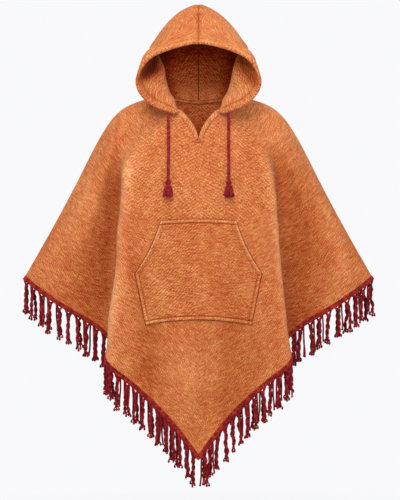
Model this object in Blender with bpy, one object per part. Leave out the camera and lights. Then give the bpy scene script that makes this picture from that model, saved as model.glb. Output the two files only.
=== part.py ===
"""Hooded poncho with a pouch pocket, a drawcord and a fringed hem, in its worn shape with no wearer.

Row frame: metres, +Z up, the front faces -Y, +X to the right as seen from the front.
The origin is the middle of the neck at shoulder height, where the wearer carries the garment.
Sizes below are in millimetres and are turned to metres where a mesh is made.
"""

import math
import random

import bmesh
import bpy
import numpy as np

MM = 0.001

# Cloth and seam sizes
CLOTH = 2.6
SEAM_GAP = 0.4
NECK_GAP = 1.0
CASING = 7.0
HEM_ROLL = 4.4
POCKET_CLOTH = 2.4
FACING_CLOTH = 3.2
TRIM_CLOTH = 3.0
TRIM_WIDTH = 13.0
TRIM_GAP = 1.0

# Fringe and drawcord sizes
BUNCHES_PER_SIDE = 26
STRANDS_PER_BUNCH = 2
STRAND_GAP = 9.0
STRAND_RADIUS = 2.0
STRAND_ROOT = 4.0
STRAND_LENGTH = 86.0
CORD_DIAMETER = 7.0
CORD_CLEAR = 1.6
TASSEL_STRANDS = 10

# The stations of every rib, as shares of its length from neck to hem
STATIONS = (0.0, 0.15, 0.28, 0.53, 1.0)

# Ribs of the body, one row for each fold line of one half of the poncho, from the centre front
# round the arm to the centre back. Columns: name, then x, y, z at neck, top, cap, chest and hem.
RIBS = (
    ("centre", (0, -128, -102), (0, -141, -230), (0, -149, -340), (0, -156, -553), (0, -163, -953)),
    ("inner", (21, -119, -56), (42, -135, -174), (56, -144, -277), (68, -152, -475), (86, -161, -843)),
    ("trough", (48, -106, -26), (80, -126, -140), (101, -138, -239), (120, -146, -430), (143, -150, -788)),
    ("panel", (66, -86, -14), (110, -116, -95), (140, -132, -195), (168, -144, -373), (200, -148, -740)),
    ("ridge", (78, -71, -6), (134, -94, -82), (180, -112, -160), (213, -126, -344), (250, -132, -690)),
    ("valley", (85, -56, 1), (148, -76, -66), (190, -82, -138), (211, -68, -312), (240, -56, -636)),
    ("wing", (91, -38, 8), (169, -58, -48), (212, -68, -112), (264, -64, -264), (345, -46, -560)),
    ("arm", (95, -20, 14), (190, -36, -22), (240, -42, -80), (308, -38, -222), (447, -28, -490)),
    ("edge", (97, -4, 18), (197, -4, -14), (249, -4, -68), (324, -4, -208), (469, -4, -472)),
    ("arm_back", (95, 12, 18), (190, 28, -20), (240, 34, -78), (308, 30, -220), (447, 20, -490)),
    ("wing_back", (90, 30, 18), (168, 54, -44), (210, 64, -110), (264, 58, -262), (345, 40, -560)),
    ("valley_back", (80, 48, 16), (146, 76, -58), (188, 84, -136), (212, 66, -308), (238, 50, -632)),
    ("ridge_back", (67, 62, 13), (128, 96, -72), (174, 114, -156), (208, 120, -344), (246, 122, -686)),
    ("panel_back", (48, 76, 10), (90, 112, -92), (122, 126, -192), (150, 131, -386), (178, 133, -764)),
    ("inner_back", (25, 85, 7), (48, 117, -112), (64, 130, -222), (78, 134, -436), (90, 137, -852)),
    ("centre_back", (0, 88, 5), (0, 121, -134), (0, 133, -262), (0, 137, -505), (0, 140, -956)),
)
RIB_NAMES = [row[0] for row in RIBS]

# Where the hood's sections stand from its face edge to its centre seam
HOOD_STATIONS = (0.0, 0.047, 0.28, 0.50, 0.74, 1.0)

# Sections of one half of the hood, one row for each, from the neck seam up to the top seam.
# Columns: share of the height, then x, y, z at the face edge, the casing's stitch line, the
# cheek, the side, the nape and the centre seam.
HOOD_SECTIONS = (
    (0.00, (63, -124, -30), (51, -110, -23), (66, -86, -12), (97, -4, 18), (67, 62, 13), (0, 88, 5)),
    (0.12, (98, -121, -21), (86, -112, -9), (66, -84, 4), (99, -2, 32), (73, 67, 32), (0, 99, 32)),
    (0.25, (131, -122, -5), (120, -112, 7), (76, -76, 20), (104, 2, 50), (81, 73, 54), (0, 108, 62)),
    (0.38, (158, -122, 22), (144, -112, 29), (86, -68, 46), (112, 4, 78), (88, 79, 82), (0, 115, 96)),
    (0.50, (168, -123, 54), (157, -111, 58), (93, -62, 76), (122, 4, 108), (92, 81, 112), (0, 119, 130)),
    (0.62, (156, -126, 86), (158, -111, 91), (105, -66, 110), (131, -2, 142), (88, 79, 148), (0, 117, 164)),
    (0.75, (127, -129, 119), (136, -115, 127), (116, -76, 151), (112, -8, 178), (70, 68, 196), (0, 107, 200)),
    (0.88, (70, -131, 144), (72, -118, 154), (76, -88, 181), (68, -22, 226), (45, 54, 241), (0, 90, 234)),
    (1.00, (0, -132, 157), (0, -120, 168), (0, -90, 194), (0, -28, 243), (0, 34, 266), (0, 66, 258)),
)

# Pouch pocket, seen from the front: half widths and heights at its corners
POCKET_TOP = (101.0, -323.0)
POCKET_SIDE = (170.0, -464.0)
POCKET_FOOT = (142.0, -601.0)
POCKET_TOP_RISE = 5.0
POCKET_FOOT_RISE = 14.0
POCKET_MOUTH_HOLLOW = 7.0
POCKET_HEM = 8.0

# Drawcord: where it leaves the casing, and how far down it hangs
CORD_X = 81.0
CORD_EXIT = (81.0, -120.5, -31.5)
CORD_END_Z = -214.0

# Tassel, held off the cloth by its own head. Columns of the head: drop from the cord's end, radius.
TASSEL_LIFT = 10.6
TASSEL_HEAD = ((0.8, 3.0), (2.5, 5.4), (7.0, 5.8), (10.0, 4.2), (12.5, 4.4), (15.0, 6.4), (19.0, 7.0))

# Columns of the skirt's strands: spread from the middle, drop, radius
TASSEL_SKIRT = ((5.2, 16.0, 0.8), (9.4, 30.0, 1.3), (13.2, 45.0, 1.6))
TASSEL_FLATNESS = 0.7

COLOURS = {
    "wool": (0.72, 0.27, 0.09),
    "burgundy": (0.30, 0.02, 0.04),
    "trim": (0.42, 0.04, 0.03),
}


def clear_scene():
    for item in list(bpy.data.objects):
        bpy.data.objects.remove(item)


def material(name, colour):
    """A plain woollen material of that colour, made once."""
    found = bpy.data.materials.get(name)
    if found:
        return found
    made = bpy.data.materials.new(name)
    made.use_nodes = True
    shader = made.node_tree.nodes["Principled BSDF"]
    shader.inputs["Base Color"].default_value = (*colour, 1.0)
    shader.inputs["Roughness"].default_value = 0.9
    shader.inputs["Metallic"].default_value = 0.0
    return made


def add_object(name, mesh_data, colour_name):
    made = bpy.data.objects.new(name, mesh_data)
    mesh_data.materials.append(material(colour_name, COLOURS[colour_name]))
    bpy.context.scene.collection.objects.link(made)
    return made


def spline_weights(knots, at, flat=(False, False)):
    """How much each knot's value counts at each place in at, for a cubic spline through the knots.

    An end is straight unless flat says that its slope is level.
    """
    knots = np.asarray(knots, float)
    at = np.clip(np.asarray(at, float), knots[0], knots[-1])
    count = len(knots)
    step = np.diff(knots)
    system = np.eye(count)
    right = np.zeros((count, count))
    for i in range(1, count - 1):
        system[i, i - 1 : i + 2] = step[i - 1], 2 * (step[i - 1] + step[i]), step[i]
        right[i, i - 1] += 6 / step[i - 1]
        right[i, i] -= 6 / step[i - 1] + 6 / step[i]
        right[i, i + 1] += 6 / step[i]
    if flat[0]:
        system[0, :2] = 2 * step[0], step[0]
        right[0, :2] = -6 / step[0], 6 / step[0]
    if flat[1]:
        system[-1, -2:] = step[-1], 2 * step[-1]
        right[-1, -2:] = 6 / step[-1], -6 / step[-1]
    bend = np.linalg.solve(system, right)
    cell = np.clip(np.searchsorted(knots, at, side="right") - 1, 0, count - 2)
    wide = step[cell]
    b = (at - knots[cell]) / wide
    a = 1 - b
    unit = np.eye(count)
    curve_a = ((a**3 - a) * wide**2 / 6)[:, None] * bend[cell]
    curve_b = ((b**3 - b) * wide**2 / 6)[:, None] * bend[cell + 1]
    return a[:, None] * unit[cell] + b[:, None] * unit[cell + 1] + curve_a + curve_b


def body_net():
    """The ribs' points, and each rib's place round the body as a share of the way to the back."""
    net = np.array([row[1:] for row in RIBS], float)
    apart = np.linalg.norm(np.diff(net, axis=0), axis=2)[:, 2:].mean(axis=1)
    round_body = np.concatenate([[0], np.cumsum(apart)])
    return net, round_body / round_body[-1]


BODY_NET, BODY_U = body_net()
U_EDGE = BODY_U[RIB_NAMES.index("edge")]
U_SLIT = BODY_U[RIB_NAMES.index("trough")]


def along_profile(rib, z):
    """The rib's depth at each height z, carried on straight past its ends."""
    heights, depths = rib[::-1, 2], rib[::-1, 1]
    inside = spline_weights(heights, z) @ depths
    near = spline_weights(heights, heights[[0, -1]] + (1, -1)) @ depths
    below = np.minimum(z - heights[0], 0) * (near[0] - depths[0])
    above = np.maximum(z - heights[-1], 0) * (depths[-1] - near[1])
    return inside + below + above


def shared_depth(u, z):
    """The centre fold line's depth at that height, going over from the front's to the back's."""
    share = np.clip((u - BODY_U[6]) / (BODY_U[10] - BODY_U[6]), 0, 1)
    share = share * share * (3 - 2 * share)
    return along_profile(BODY_NET[0], z) * (1 - share) + along_profile(BODY_NET[-1], z) * share


def own_depths():
    """How far each point of the ribs stands from the shared depth."""
    own = BODY_NET[:, :, 1].copy()
    for i, u in enumerate(BODY_U):
        own[i] -= shared_depth(np.full(own.shape[1], u), BODY_NET[i, :, 2])
    return own


BODY_OWN_DEPTH = own_depths()


def body_points(u, v):
    """Points in the middle of the body's cloth.

    u is 0 at the centre front, 1 and -1 at the centre back, and v runs from neck to hem.
    """
    u, v = np.broadcast_arrays(np.asarray(u, float), np.asarray(v, float))
    shape = u.shape
    turned = (u.ravel() + 1) % 2 - 1
    side = np.where(turned < 0, -1.0, 1.0)
    turned = abs(turned)
    along = spline_weights(STATIONS, v.ravel())
    free = spline_weights(BODY_U, turned)
    level = spline_weights(BODY_U, turned, flat=(True, True))
    x = side * np.einsum("pi,pj,ij->p", free, along, BODY_NET[:, :, 0])
    z = np.einsum("pi,pj,ij->p", free, along, BODY_NET[:, :, 2])
    y = np.einsum("pi,pj,ij->p", level, along, BODY_OWN_DEPTH) + shared_depth(turned, z)
    return np.stack([x, y, z], axis=-1).reshape(*shape, 3)


def unit(vectors):
    return vectors / np.linalg.norm(vectors, axis=-1, keepdims=True)


def body_frame(u, v):
    """Unit vectors at a point of the body: round it, down it and out of it."""
    small = 0.002
    u, v = np.asarray(u, float), np.asarray(v, float)
    across = unit(body_points(u + small, v) - body_points(u - small, v))
    low, high = np.clip(v - small, 0, 1), np.clip(v + small, 0, 1)
    down = unit(body_points(u, high) - body_points(u, low))
    return across, down, -unit(np.cross(across, down))


def spread_columns(marks, cells):
    """Places from the first mark to the last, with that many equal cells between each two marks."""
    places = [marks[0]]
    for low, high, count in zip(marks, marks[1:], cells):
        places.extend(np.linspace(low, high, count + 1)[1:])
    return np.array(places)


def cloth(name, columns, rows, place, colour):
    """A closed wall of cloth on a grid of columns and rows.

    place(column, row) gives the middle of the wall, the way out of it and its thickness, in millimetres.
    """
    wide, high = len(columns), len(rows)
    u, v = np.meshgrid(columns, rows, indexing="ij")
    middle, out, wall = place(u.ravel(), v.ravel())
    half = out * (np.broadcast_to(wall, len(out)) / 2)[:, None]
    bm = bmesh.new()
    outer = [bm.verts.new(point * MM) for point in middle + half]
    inner = [bm.verts.new(point * MM) for point in middle - half]
    for i in range(wide - 1):
        for j in range(high - 1):
            corners = (i * high + j, i * high + j + 1, (i + 1) * high + j + 1, (i + 1) * high + j)
            bm.faces.new([outer[k] for k in corners])
            bm.faces.new([inner[k] for k in reversed(corners)])
    down_side = [i * high for i in range(wide)]
    border = down_side + [(wide - 1) * high + j for j in range(1, high)]
    border += [i * high + high - 1 for i in range(wide - 2, -1, -1)]
    border += [j for j in range(high - 2, 0, -1)]
    for here, after in zip(border, border[1:] + border[:1]):
        bm.faces.new((outer[here], outer[after], inner[after], inner[here]))
    bmesh.ops.recalc_face_normals(bm, faces=bm.faces)
    data = bpy.data.meshes.new(name)
    bm.to_mesh(data)
    bm.free()
    data.shade_smooth()
    return add_object(name, data, colour)


def panel_place(u, v):
    """A place of a body panel, drawn back by half the gap at the seam over the arm."""
    turned = (u + 1) % 2 - 1
    points = body_points(u, v)
    across, _, out = body_frame(u, v)
    out[(abs(turned) < 1e-9) | (abs(turned) > 1 - 1e-9), 0] = 0
    at_seam = np.where(abs(abs(turned) - U_EDGE) < 1e-9, SEAM_GAP / 2, 0.0)
    return points, across, unit(out), at_seam


def front_half_columns():
    return spread_columns(BODY_U[:9], (2, 2, 4, 4, 6, 3, 2, 3))


def back_half_columns():
    return spread_columns(BODY_U[8:], (3, 3, 3, 6, 4, 2, 2))


def make_front():
    half = front_half_columns()
    columns = np.concatenate([-half[:0:-1], half])
    rows = spread_columns(STATIONS, (3, 2, 3, 4))

    def place(u, v):
        points, across, out, at_seam = panel_place(u, v)
        return points - across * (at_seam * np.sign(u))[:, None], out, CLOTH

    return cloth("front", columns, rows, place, "wool")


def make_back():
    half = back_half_columns()
    columns = np.concatenate([half, 2 - half[-2::-1]])
    rows = spread_columns(STATIONS, (3, 2, 3, 4))

    def place(u, v):
        points, across, out, at_seam = panel_place(u, v)
        return points + across * (at_seam * np.sign(1 - u))[:, None], out, CLOTH

    return cloth("back", columns, rows, place, "wool")


def hood_surface(s, t):
    """Points in the middle of the right half of the hood, before it is set on the neck seam."""
    heights = [row[0] for row in HOOD_SECTIONS]
    net = np.array([row[1:] for row in HOOD_SECTIONS], float)
    s, t = np.asarray(s, float), np.asarray(t, float)
    free_s = spline_weights(HOOD_STATIONS, s)
    level_s = spline_weights(HOOD_STATIONS, s, flat=(False, True))
    free_t = spline_weights(heights, t)
    level_t = spline_weights(heights, t, flat=(False, True))
    x = np.einsum("pi,pj,ij->p", free_t, free_s, net[:, :, 0])
    y = np.einsum("pi,pj,ij->p", level_t, level_s, net[:, :, 1])
    z = np.einsum("pi,pj,ij->p", level_t, level_s, net[:, :, 2])
    return np.stack([x, y, z], axis=-1)


def neck_lift(u, rise):
    """How far up its own wall the hood starts, to clear the end or else the face of the body's wall."""
    across, down, out = body_frame(u, np.zeros_like(u))
    down = unit(down - across * (down * across).sum(axis=-1)[:, None])
    along = (down * rise).sum(axis=-1)
    off = abs((out * rise).sum(axis=-1))
    level = np.sqrt(along**2 + off**2)
    past_end = (CLOTH / 2 * off / level + NECK_GAP) / np.clip(-along, 0.05, 1)
    past_face = (CLOTH / 2 * (1 + abs(along) / level) + NECK_GAP) / np.clip(off, 0.05, 1)
    return np.minimum(past_end, past_face)


def hood_points(s, t):
    """Points of the right half of the hood, with its lower edge on the body's neckline."""
    points = hood_surface(s, t)
    stitch = HOOD_STATIONS[1]
    seam_s = np.clip(s, stitch, 1)
    u = np.interp(seam_s, (stitch, *HOOD_STATIONS[2:]), (U_SLIT, BODY_U[3], U_EDGE, BODY_U[12], 1.0))
    small = 0.02
    foot = hood_surface(s, np.zeros_like(t))
    rise = unit(hood_surface(s, np.full_like(t, small)) - foot)
    target = body_points(u, np.zeros_like(u)) + rise * neck_lift(u, rise)[:, None]
    fade = np.clip(1 - t / 0.3, 0, 1) ** 2
    on_seam = np.where(s < stitch, s / stitch, 1.0)
    return points + (target - foot) * (fade * on_seam)[:, None]


def hood_out(s, t):
    """The way out of the right half of the hood. At the seam's far end it is taken a little before it."""
    small = 0.004
    s = np.where((s > 1 - 1e-9) & (t > 1 - 1e-9), 0.95, s)
    low, high = np.clip(s - small, 0, 1), np.clip(s + small, 0, 1)
    round_head = hood_points(high, t) - hood_points(low, t)
    low, high = np.clip(t - small, 0, 1), np.clip(t + small, 0, 1)
    up = hood_points(s, high) - hood_points(s, low)
    out = np.cross(round_head, up)
    out[(s > 1 - 1e-9) | (t > 1 - 1e-9), 0] = 0
    return unit(out)


def casing_wall(s, t):
    """The hood's thickness: a thick hem stands in for the drawcord's casing along the face edge."""
    stitch = HOOD_STATIONS[1]
    share = np.clip(1 - abs(s / stitch - 0.5) * 2, 0, 1) * np.clip(0.2 + 8 * t, 0, 1)
    rolled = CLOTH + 1.0 + (CASING - CLOTH - 1.0) * share
    return np.where(s <= stitch * 1.01, rolled, CLOTH)


def make_hood_half(name, side):
    columns = spread_columns(HOOD_STATIONS, (2, 5, 4, 4, 3))
    rows = spread_columns([row[0] for row in HOOD_SECTIONS], (2, 2, 2, 2, 2, 2, 2, 3))

    def place(s, t):
        points, out = hood_points(s, t), hood_out(s, t)
        points[(s > 1 - 1e-9) | (t > 1 - 1e-9), 0] = SEAM_GAP / 2
        return points * (side, 1, 1), out * (side, 1, 1), casing_wall(s, t)

    return cloth(name, columns, rows, place, "wool")


def find_on_front(x, z):
    """The u and v of the front's points that show at x and z from the front, by Newton's method."""
    u, v = 0.15 * np.sign(x), np.full(x.shape, 0.4)
    small = 0.001
    for _ in range(25):
        here = body_points(u, v)
        by_u = (body_points(u + small, v) - here) / small
        by_v = (body_points(u, v + small) - here) / small
        miss_x, miss_z = x - here[..., 0], z - here[..., 2]
        det = by_u[..., 0] * by_v[..., 2] - by_v[..., 0] * by_u[..., 2]
        u = np.clip(u + (miss_x * by_v[..., 2] - miss_z * by_v[..., 0]) / det, -U_EDGE, U_EDGE)
        v = np.clip(v + (miss_z * by_u[..., 0] - miss_x * by_u[..., 2]) / det, 0.01, 0.97)
    return u, v


def pocket_outline(a, b):
    """x and z of the pocket at a, from -1 to 1 across it, and b, from 0 at its top to 1 at its foot."""
    turn = (POCKET_TOP[1] - POCKET_SIDE[1]) / (POCKET_TOP[1] - POCKET_FOOT[1])
    upper = np.clip(b / turn, 0, 1)
    lower = np.clip((b - turn) / (1 - turn), 0, 1)
    half = POCKET_TOP[0] + (POCKET_SIDE[0] - POCKET_TOP[0]) * upper
    half = half - POCKET_MOUTH_HOLLOW * np.sin(math.pi * upper)
    half = half + (POCKET_FOOT[0] - POCKET_SIDE[0]) * lower
    bow = (1 - a**2) * (POCKET_TOP_RISE + (POCKET_FOOT_RISE - POCKET_TOP_RISE) * b)
    return a * half, POCKET_TOP[1] + (POCKET_FOOT[1] - POCKET_TOP[1]) * b + bow


def make_pocket():
    tall = POCKET_TOP[1] - POCKET_FOOT[1]
    turn = (POCKET_TOP[1] - POCKET_SIDE[1]) / tall
    hem = POCKET_HEM / tall
    rows = spread_columns((0, hem, turn, 1 - hem, 1), (2, 4, 3, 2))
    edge = 1 - POCKET_HEM / POCKET_SIDE[0]
    columns = spread_columns((-1, -edge, edge, 1), (1, 12, 1))

    def place(a, b):
        u, v = find_on_front(*pocket_outline(a, b))
        _, _, out = body_frame(u, v)
        rolled = (abs(b - hem / 2) < hem * 0.1) | (abs(b - 1 + hem / 2) < hem * 0.1)
        wall = np.where(rolled, HEM_ROLL, POCKET_CLOTH)
        return body_points(u, v) + out * (CLOTH + HEM_ROLL + SEAM_GAP * 4) / 2, out, wall

    return cloth("pocket", columns, rows, place, "wool")


def make_slit_facing(name, side):
    """The turned edge that shows along one side of the neck slit."""
    columns = np.linspace(0.012, U_SLIT * 0.94, 9)
    rows = np.linspace(0, 1, 3)

    def place(u, w):
        edge = body_points(u * side, 0)
        _, down, out = body_frame(u * side, np.zeros_like(u))
        along = unit(body_points((u + 0.003) * side, 0) - body_points((u - 0.003) * side, 0))
        away = unit(np.cross(along, out))
        away = np.where((away * down).sum(axis=-1)[:, None] < 0, -away, away)
        width = np.interp(u, (0, U_SLIT), (3.0, 15.0))
        lift = CLOTH / 2 + SEAM_GAP * 2 + FACING_CLOTH / 2
        return edge + out * lift + away * (width * w)[:, None], out, FACING_CLOTH

    return cloth(name, columns, rows, place, "wool")


def hem_line(side, front):
    """Points along one quarter of the hem, from the tip to the wing, and the ways down and out there."""
    u = side * (front_half_columns() if front else back_half_columns()[::-1])
    sampled = side * np.clip(abs(u), 0.002, 0.998)
    line = body_points(u, np.ones_like(u))
    step = 0.004 * side * (1 if front else -1)
    along = unit(body_points(sampled + step, 1 + 0 * u) - body_points(sampled - step, 1 + 0 * u))
    _, down, out = body_frame(sampled, np.ones_like(u))
    away = unit(np.cross(along, out))
    away = np.where((away * down).sum(axis=-1)[:, None] < 0, -away, away)
    return line, along, away, out


def make_trim(name, side, front, seed):
    """One quarter of the hem's fringed strip: a narrow band parted from the cloth's edge, with its strands."""
    line, along, away, out = hem_line(side, front)
    mitre = 1 / math.sqrt(1 - along[0][2] ** 2)
    away[0] = (0, 0, -1)
    out[0, 0] = 0
    stretch = np.ones(len(line))
    stretch[0] = mitre
    line[0, 0] += side * SEAM_GAP / 2
    line[-1] -= along[-1] * SEAM_GAP / 2

    def place(i, w):
        k = i.astype(int)
        reach = (TRIM_GAP + (TRIM_WIDTH - TRIM_GAP) * w) * stretch[k]
        return line[k] + away[k] * reach[:, None], unit(out[k]), TRIM_CLOTH

    strip = cloth(name, np.arange(len(line)), np.array([0.0, 1.0]), place, "trim")
    foot = line + away * (TRIM_WIDTH * stretch)[:, None]
    strands = make_strands(name + "_strands", foot, seed)
    joined = strip.modifiers.new("strands", "BOOLEAN")
    joined.operation = "UNION"
    joined.object = strands
    joined.solver = "EXACT"
    return strip


def add_tube(bm, centres, radii, sides, turn=0.0):
    """A closed tube of a few sides through the centres, with its rings level."""
    rings = []
    for centre, radius in zip(centres, radii):
        ring = []
        for k in range(sides):
            angle = turn + 2 * math.pi * k / sides
            spot = np.array(centre) + radius * np.array([math.cos(angle), math.sin(angle), 0])
            ring.append(bm.verts.new(spot * MM))
        rings.append(ring)
    for upper, lower in zip(rings, rings[1:]):
        for k in range(sides):
            after = (k + 1) % sides
            bm.faces.new((upper[k], lower[k], lower[after], upper[after]))
    bm.faces.new(rings[0])
    bm.faces.new(list(reversed(rings[-1])))


def make_strands(name, foot, seed):
    """The strands of one strip as a helper mesh, which the strip is joined with."""
    chance = random.Random(seed)
    bm = bmesh.new()
    lengths = np.concatenate([[0], np.cumsum(np.linalg.norm(np.diff(foot, axis=0), axis=1))])
    for middle in (np.arange(BUNCHES_PER_SIDE) + 0.5) * lengths[-1] / BUNCHES_PER_SIDE:
        sway = np.array([chance.uniform(-3, 3), chance.uniform(-2, 2), 0])
        for k in range(STRANDS_PER_BUNCH):
            at = middle + (k - 0.5) * STRAND_GAP
            root = np.array([np.interp(at, lengths, foot[:, axis]) for axis in range(3)])
            ahead = np.array([np.interp(at + 3, lengths, foot[:, axis]) for axis in range(3)])
            inward = (0.5 - k) * 0.5 * (ahead - root) * (1, 1, 0)
            drop = STRAND_LENGTH + chance.uniform(-4, 4)
            centres = (
                root + np.array([0, 0, STRAND_ROOT]),
                root + sway + inward - np.array([0, 0, drop]),
            )
            radii = (STRAND_RADIUS, STRAND_RADIUS * 0.9)
            add_tube(bm, centres, radii, 3, chance.uniform(0, 2))
    data = bpy.data.meshes.new(name)
    bmesh.ops.recalc_face_normals(bm, faces=bm.faces)
    bm.to_mesh(data)
    bm.free()
    made = add_object(name, data, "burgundy")
    made.hide_render = True
    made.display_type = "WIRE"
    return made


def hang_on_front(levels, lifts):
    """Points at the drawcord's own x and those heights, lifted off the front's cloth."""
    u, v = find_on_front(np.full(levels.shape, CORD_X), levels)
    _, _, out = body_frame(u, v)
    return body_points(u, v) + out * (CLOTH / 2 + lifts)[:, None]


def cord_route():
    """The right drawcord's points: out of the casing and down the front."""
    levels = np.linspace(-72, CORD_END_Z, 6)
    lifts = np.linspace(CORD_CLEAR + CORD_DIAMETER / 2, TASSEL_LIFT, 6)
    start = np.array(CORD_EXIT)
    points = np.vstack([start, start + (0.3, -1.0, -14.0), hang_on_front(levels, lifts)])
    knots = np.concatenate([[0], np.cumsum(np.linalg.norm(np.diff(points, axis=0), axis=1))])
    return spline_weights(knots, np.linspace(0, knots[-1], 16)) @ points


def make_cord(name, side):
    route = cord_route() * (side, 1, 1)
    curve = bpy.data.curves.new(name, "CURVE")
    curve.dimensions = "3D"
    curve.bevel_depth = CORD_DIAMETER / 2 * MM
    curve.bevel_resolution = 2
    curve.use_fill_caps = True
    spline = curve.splines.new("POLY")
    spline.points.add(len(route) - 1)
    for point, place in zip(spline.points, route):
        point.co = (*(place * MM), 1.0)
    return add_object(name, curve, "burgundy")


def make_tassel(name, side):
    """A knot, a bound neck and a head, with a flared skirt of strands fused into the head."""
    drops = np.array([row[0] for row in TASSEL_HEAD])
    axis = hang_on_front(CORD_END_Z - drops, np.full(drops.shape, TASSEL_LIFT)) * (side, 1, 1)
    bm = bmesh.new()
    add_tube(bm, axis, [row[1] for row in TASSEL_HEAD], 8)
    data = bpy.data.meshes.new(name)
    bmesh.ops.recalc_face_normals(bm, faces=bm.faces)
    bm.to_mesh(data)
    bm.free()
    data.shade_smooth()
    made = add_object(name, data, "burgundy")
    spread, drops, radii = (np.array(column) for column in zip(*TASSEL_SKIRT))
    axis = hang_on_front(CORD_END_Z - drops, np.full(drops.shape, TASSEL_LIFT)) * (side, 1, 1)
    skirt = bmesh.new()
    for k in range(TASSEL_STRANDS):
        angle = 2 * math.pi * (k + 0.5) / TASSEL_STRANDS
        way = np.array([math.cos(angle), math.sin(angle) * TASSEL_FLATNESS, 0])
        add_tube(skirt, axis + spread[:, None] * way, radii, 3, angle)
    data = bpy.data.meshes.new(name + "_skirt")
    bmesh.ops.recalc_face_normals(skirt, faces=skirt.faces)
    skirt.to_mesh(data)
    skirt.free()
    helper = add_object(name + "_skirt", data, "burgundy")
    helper.hide_render = True
    helper.display_type = "WIRE"
    joined = made.modifiers.new("skirt", "BOOLEAN")
    joined.operation = "UNION"
    joined.object = helper
    joined.solver = "EXACT"
    return made


def main():
    clear_scene()
    make_front()
    make_back()
    for label, side in (("left", -1), ("right", 1)):
        make_hood_half("hood_" + label, side)
        make_slit_facing("slit_facing_" + label, side)
        make_cord("drawcord_" + label, side)
        make_tassel("tassel_" + label, side)
        make_trim("trim_front_" + label, side, True, 11 + side)
        make_trim("trim_back_" + label, side, False, 21 + side)
    make_pocket()


main()
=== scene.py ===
"""Looks of the hooded poncho: thick heathered woollen cloth, red edge, dark red fringe and drawcord.

The row frame is in metres, +Z up, the front faces -Y. Tables below are in millimetres, as in the CAD.
"""

import math
import random

import bmesh
import bpy
import numpy as np
from bpy.props import FloatProperty, FloatVectorProperty, IntProperty, PointerProperty
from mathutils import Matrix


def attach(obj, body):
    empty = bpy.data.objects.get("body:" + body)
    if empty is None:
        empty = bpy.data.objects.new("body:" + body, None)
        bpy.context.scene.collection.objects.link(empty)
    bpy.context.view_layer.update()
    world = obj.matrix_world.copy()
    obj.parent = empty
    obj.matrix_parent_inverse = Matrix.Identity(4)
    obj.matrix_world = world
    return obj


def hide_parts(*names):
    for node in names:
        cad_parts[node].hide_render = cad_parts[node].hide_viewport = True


bl_info = {
    "name": "Hooded poncho looks",
    "version": (1, 0, 0),
    "blender": (4, 5, 0),
    "location": "3D View > Sidebar > Poncho",
    "description": "Dresses the poncho's solids in cloth, stitching, fringe and cord",
    "category": "Object",
}

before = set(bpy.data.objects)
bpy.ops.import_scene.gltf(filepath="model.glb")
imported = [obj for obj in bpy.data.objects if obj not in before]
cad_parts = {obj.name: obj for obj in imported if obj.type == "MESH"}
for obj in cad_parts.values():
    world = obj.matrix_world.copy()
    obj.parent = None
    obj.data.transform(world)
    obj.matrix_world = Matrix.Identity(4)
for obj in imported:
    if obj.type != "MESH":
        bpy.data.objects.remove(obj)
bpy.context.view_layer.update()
MM = 0.001

# The cloth's wall here, and half of the wall in the solids
CLOTH = 3.0
CAD_HALF_CLOTH = 1.3
# A quarter of the hem: its bunches of fringe, how far under its edge they start, and the points along it
FRINGE_BUNCHES = 26
FRINGE_DROP = 9.0
HEM_POINTS = 360
# A free end of the drawcord: how far to the side it hangs, its eyelet, its lower end, how far it keeps off
# the cloth, and the length of half a turn of its two plies
CORD_X = 81.0
CORD_EXIT = (81.0, -120.5, -31.5)
CORD_END_Z = -214.0
CORD_CLEAR = 1.6
CORD_TWIST = 11.0
# How far a tassel's middle is off the cloth, and the points down its head
TASSEL_LIFT = 10.6
TASSEL_HEAD_POINTS = 24

SIDES = (("left", -1), ("right", 1))
# The quarters of the hem: name, whether it is in front, and side
QUARTERS = tuple(
    (f"{face}_{label}", face == "front", side) for face in ("front", "back") for label, side in SIDES
)

# The body's fold lines, from the centre front round the arm to the centre back. Columns: name, then
# x, y, z at the neck, the top, the cap, the chest and the hem.
STATIONS = (0.0, 0.15, 0.28, 0.53, 1.0)
RIBS = (
    ("centre", (0, -128, -102), (0, -141, -230), (0, -149, -340), (0, -156, -553), (0, -163, -953)),
    ("inner", (21, -119, -56), (42, -135, -174), (56, -144, -277), (68, -152, -475), (86, -161, -843)),
    ("trough", (48, -106, -26), (80, -126, -140), (101, -138, -239), (120, -146, -430), (143, -150, -788)),
    ("panel", (66, -86, -14), (110, -116, -95), (140, -132, -195), (168, -144, -373), (200, -148, -740)),
    ("ridge", (78, -71, -6), (134, -94, -82), (180, -112, -160), (213, -126, -344), (250, -132, -690)),
    ("valley", (85, -56, 1), (148, -76, -66), (190, -82, -138), (211, -68, -312), (240, -56, -636)),
    ("wing", (91, -38, 8), (169, -58, -48), (212, -68, -112), (264, -64, -264), (345, -46, -560)),
    ("arm", (95, -20, 14), (190, -36, -22), (240, -42, -80), (308, -38, -222), (447, -28, -490)),
    ("edge", (97, -4, 18), (197, -4, -14), (249, -4, -68), (324, -4, -208), (469, -4, -472)),
    ("arm_back", (95, 12, 18), (190, 28, -20), (240, 34, -78), (308, 30, -220), (447, 20, -490)),
    ("wing_back", (90, 30, 18), (168, 54, -44), (210, 64, -110), (264, 58, -262), (345, 40, -560)),
    ("valley_back", (80, 48, 16), (146, 76, -58), (188, 84, -136), (212, 66, -308), (238, 50, -632)),
    ("ridge_back", (67, 62, 13), (128, 96, -72), (174, 114, -156), (208, 120, -344), (246, 122, -686)),
    ("panel_back", (48, 76, 10), (90, 112, -92), (122, 126, -192), (150, 131, -386), (178, 133, -764)),
    ("inner_back", (25, 85, 7), (48, 117, -112), (64, 130, -222), (78, 134, -436), (90, 137, -852)),
    ("centre_back", (0, 88, 5), (0, 121, -134), (0, 133, -262), (0, 137, -505), (0, 140, -956)),
)

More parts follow.
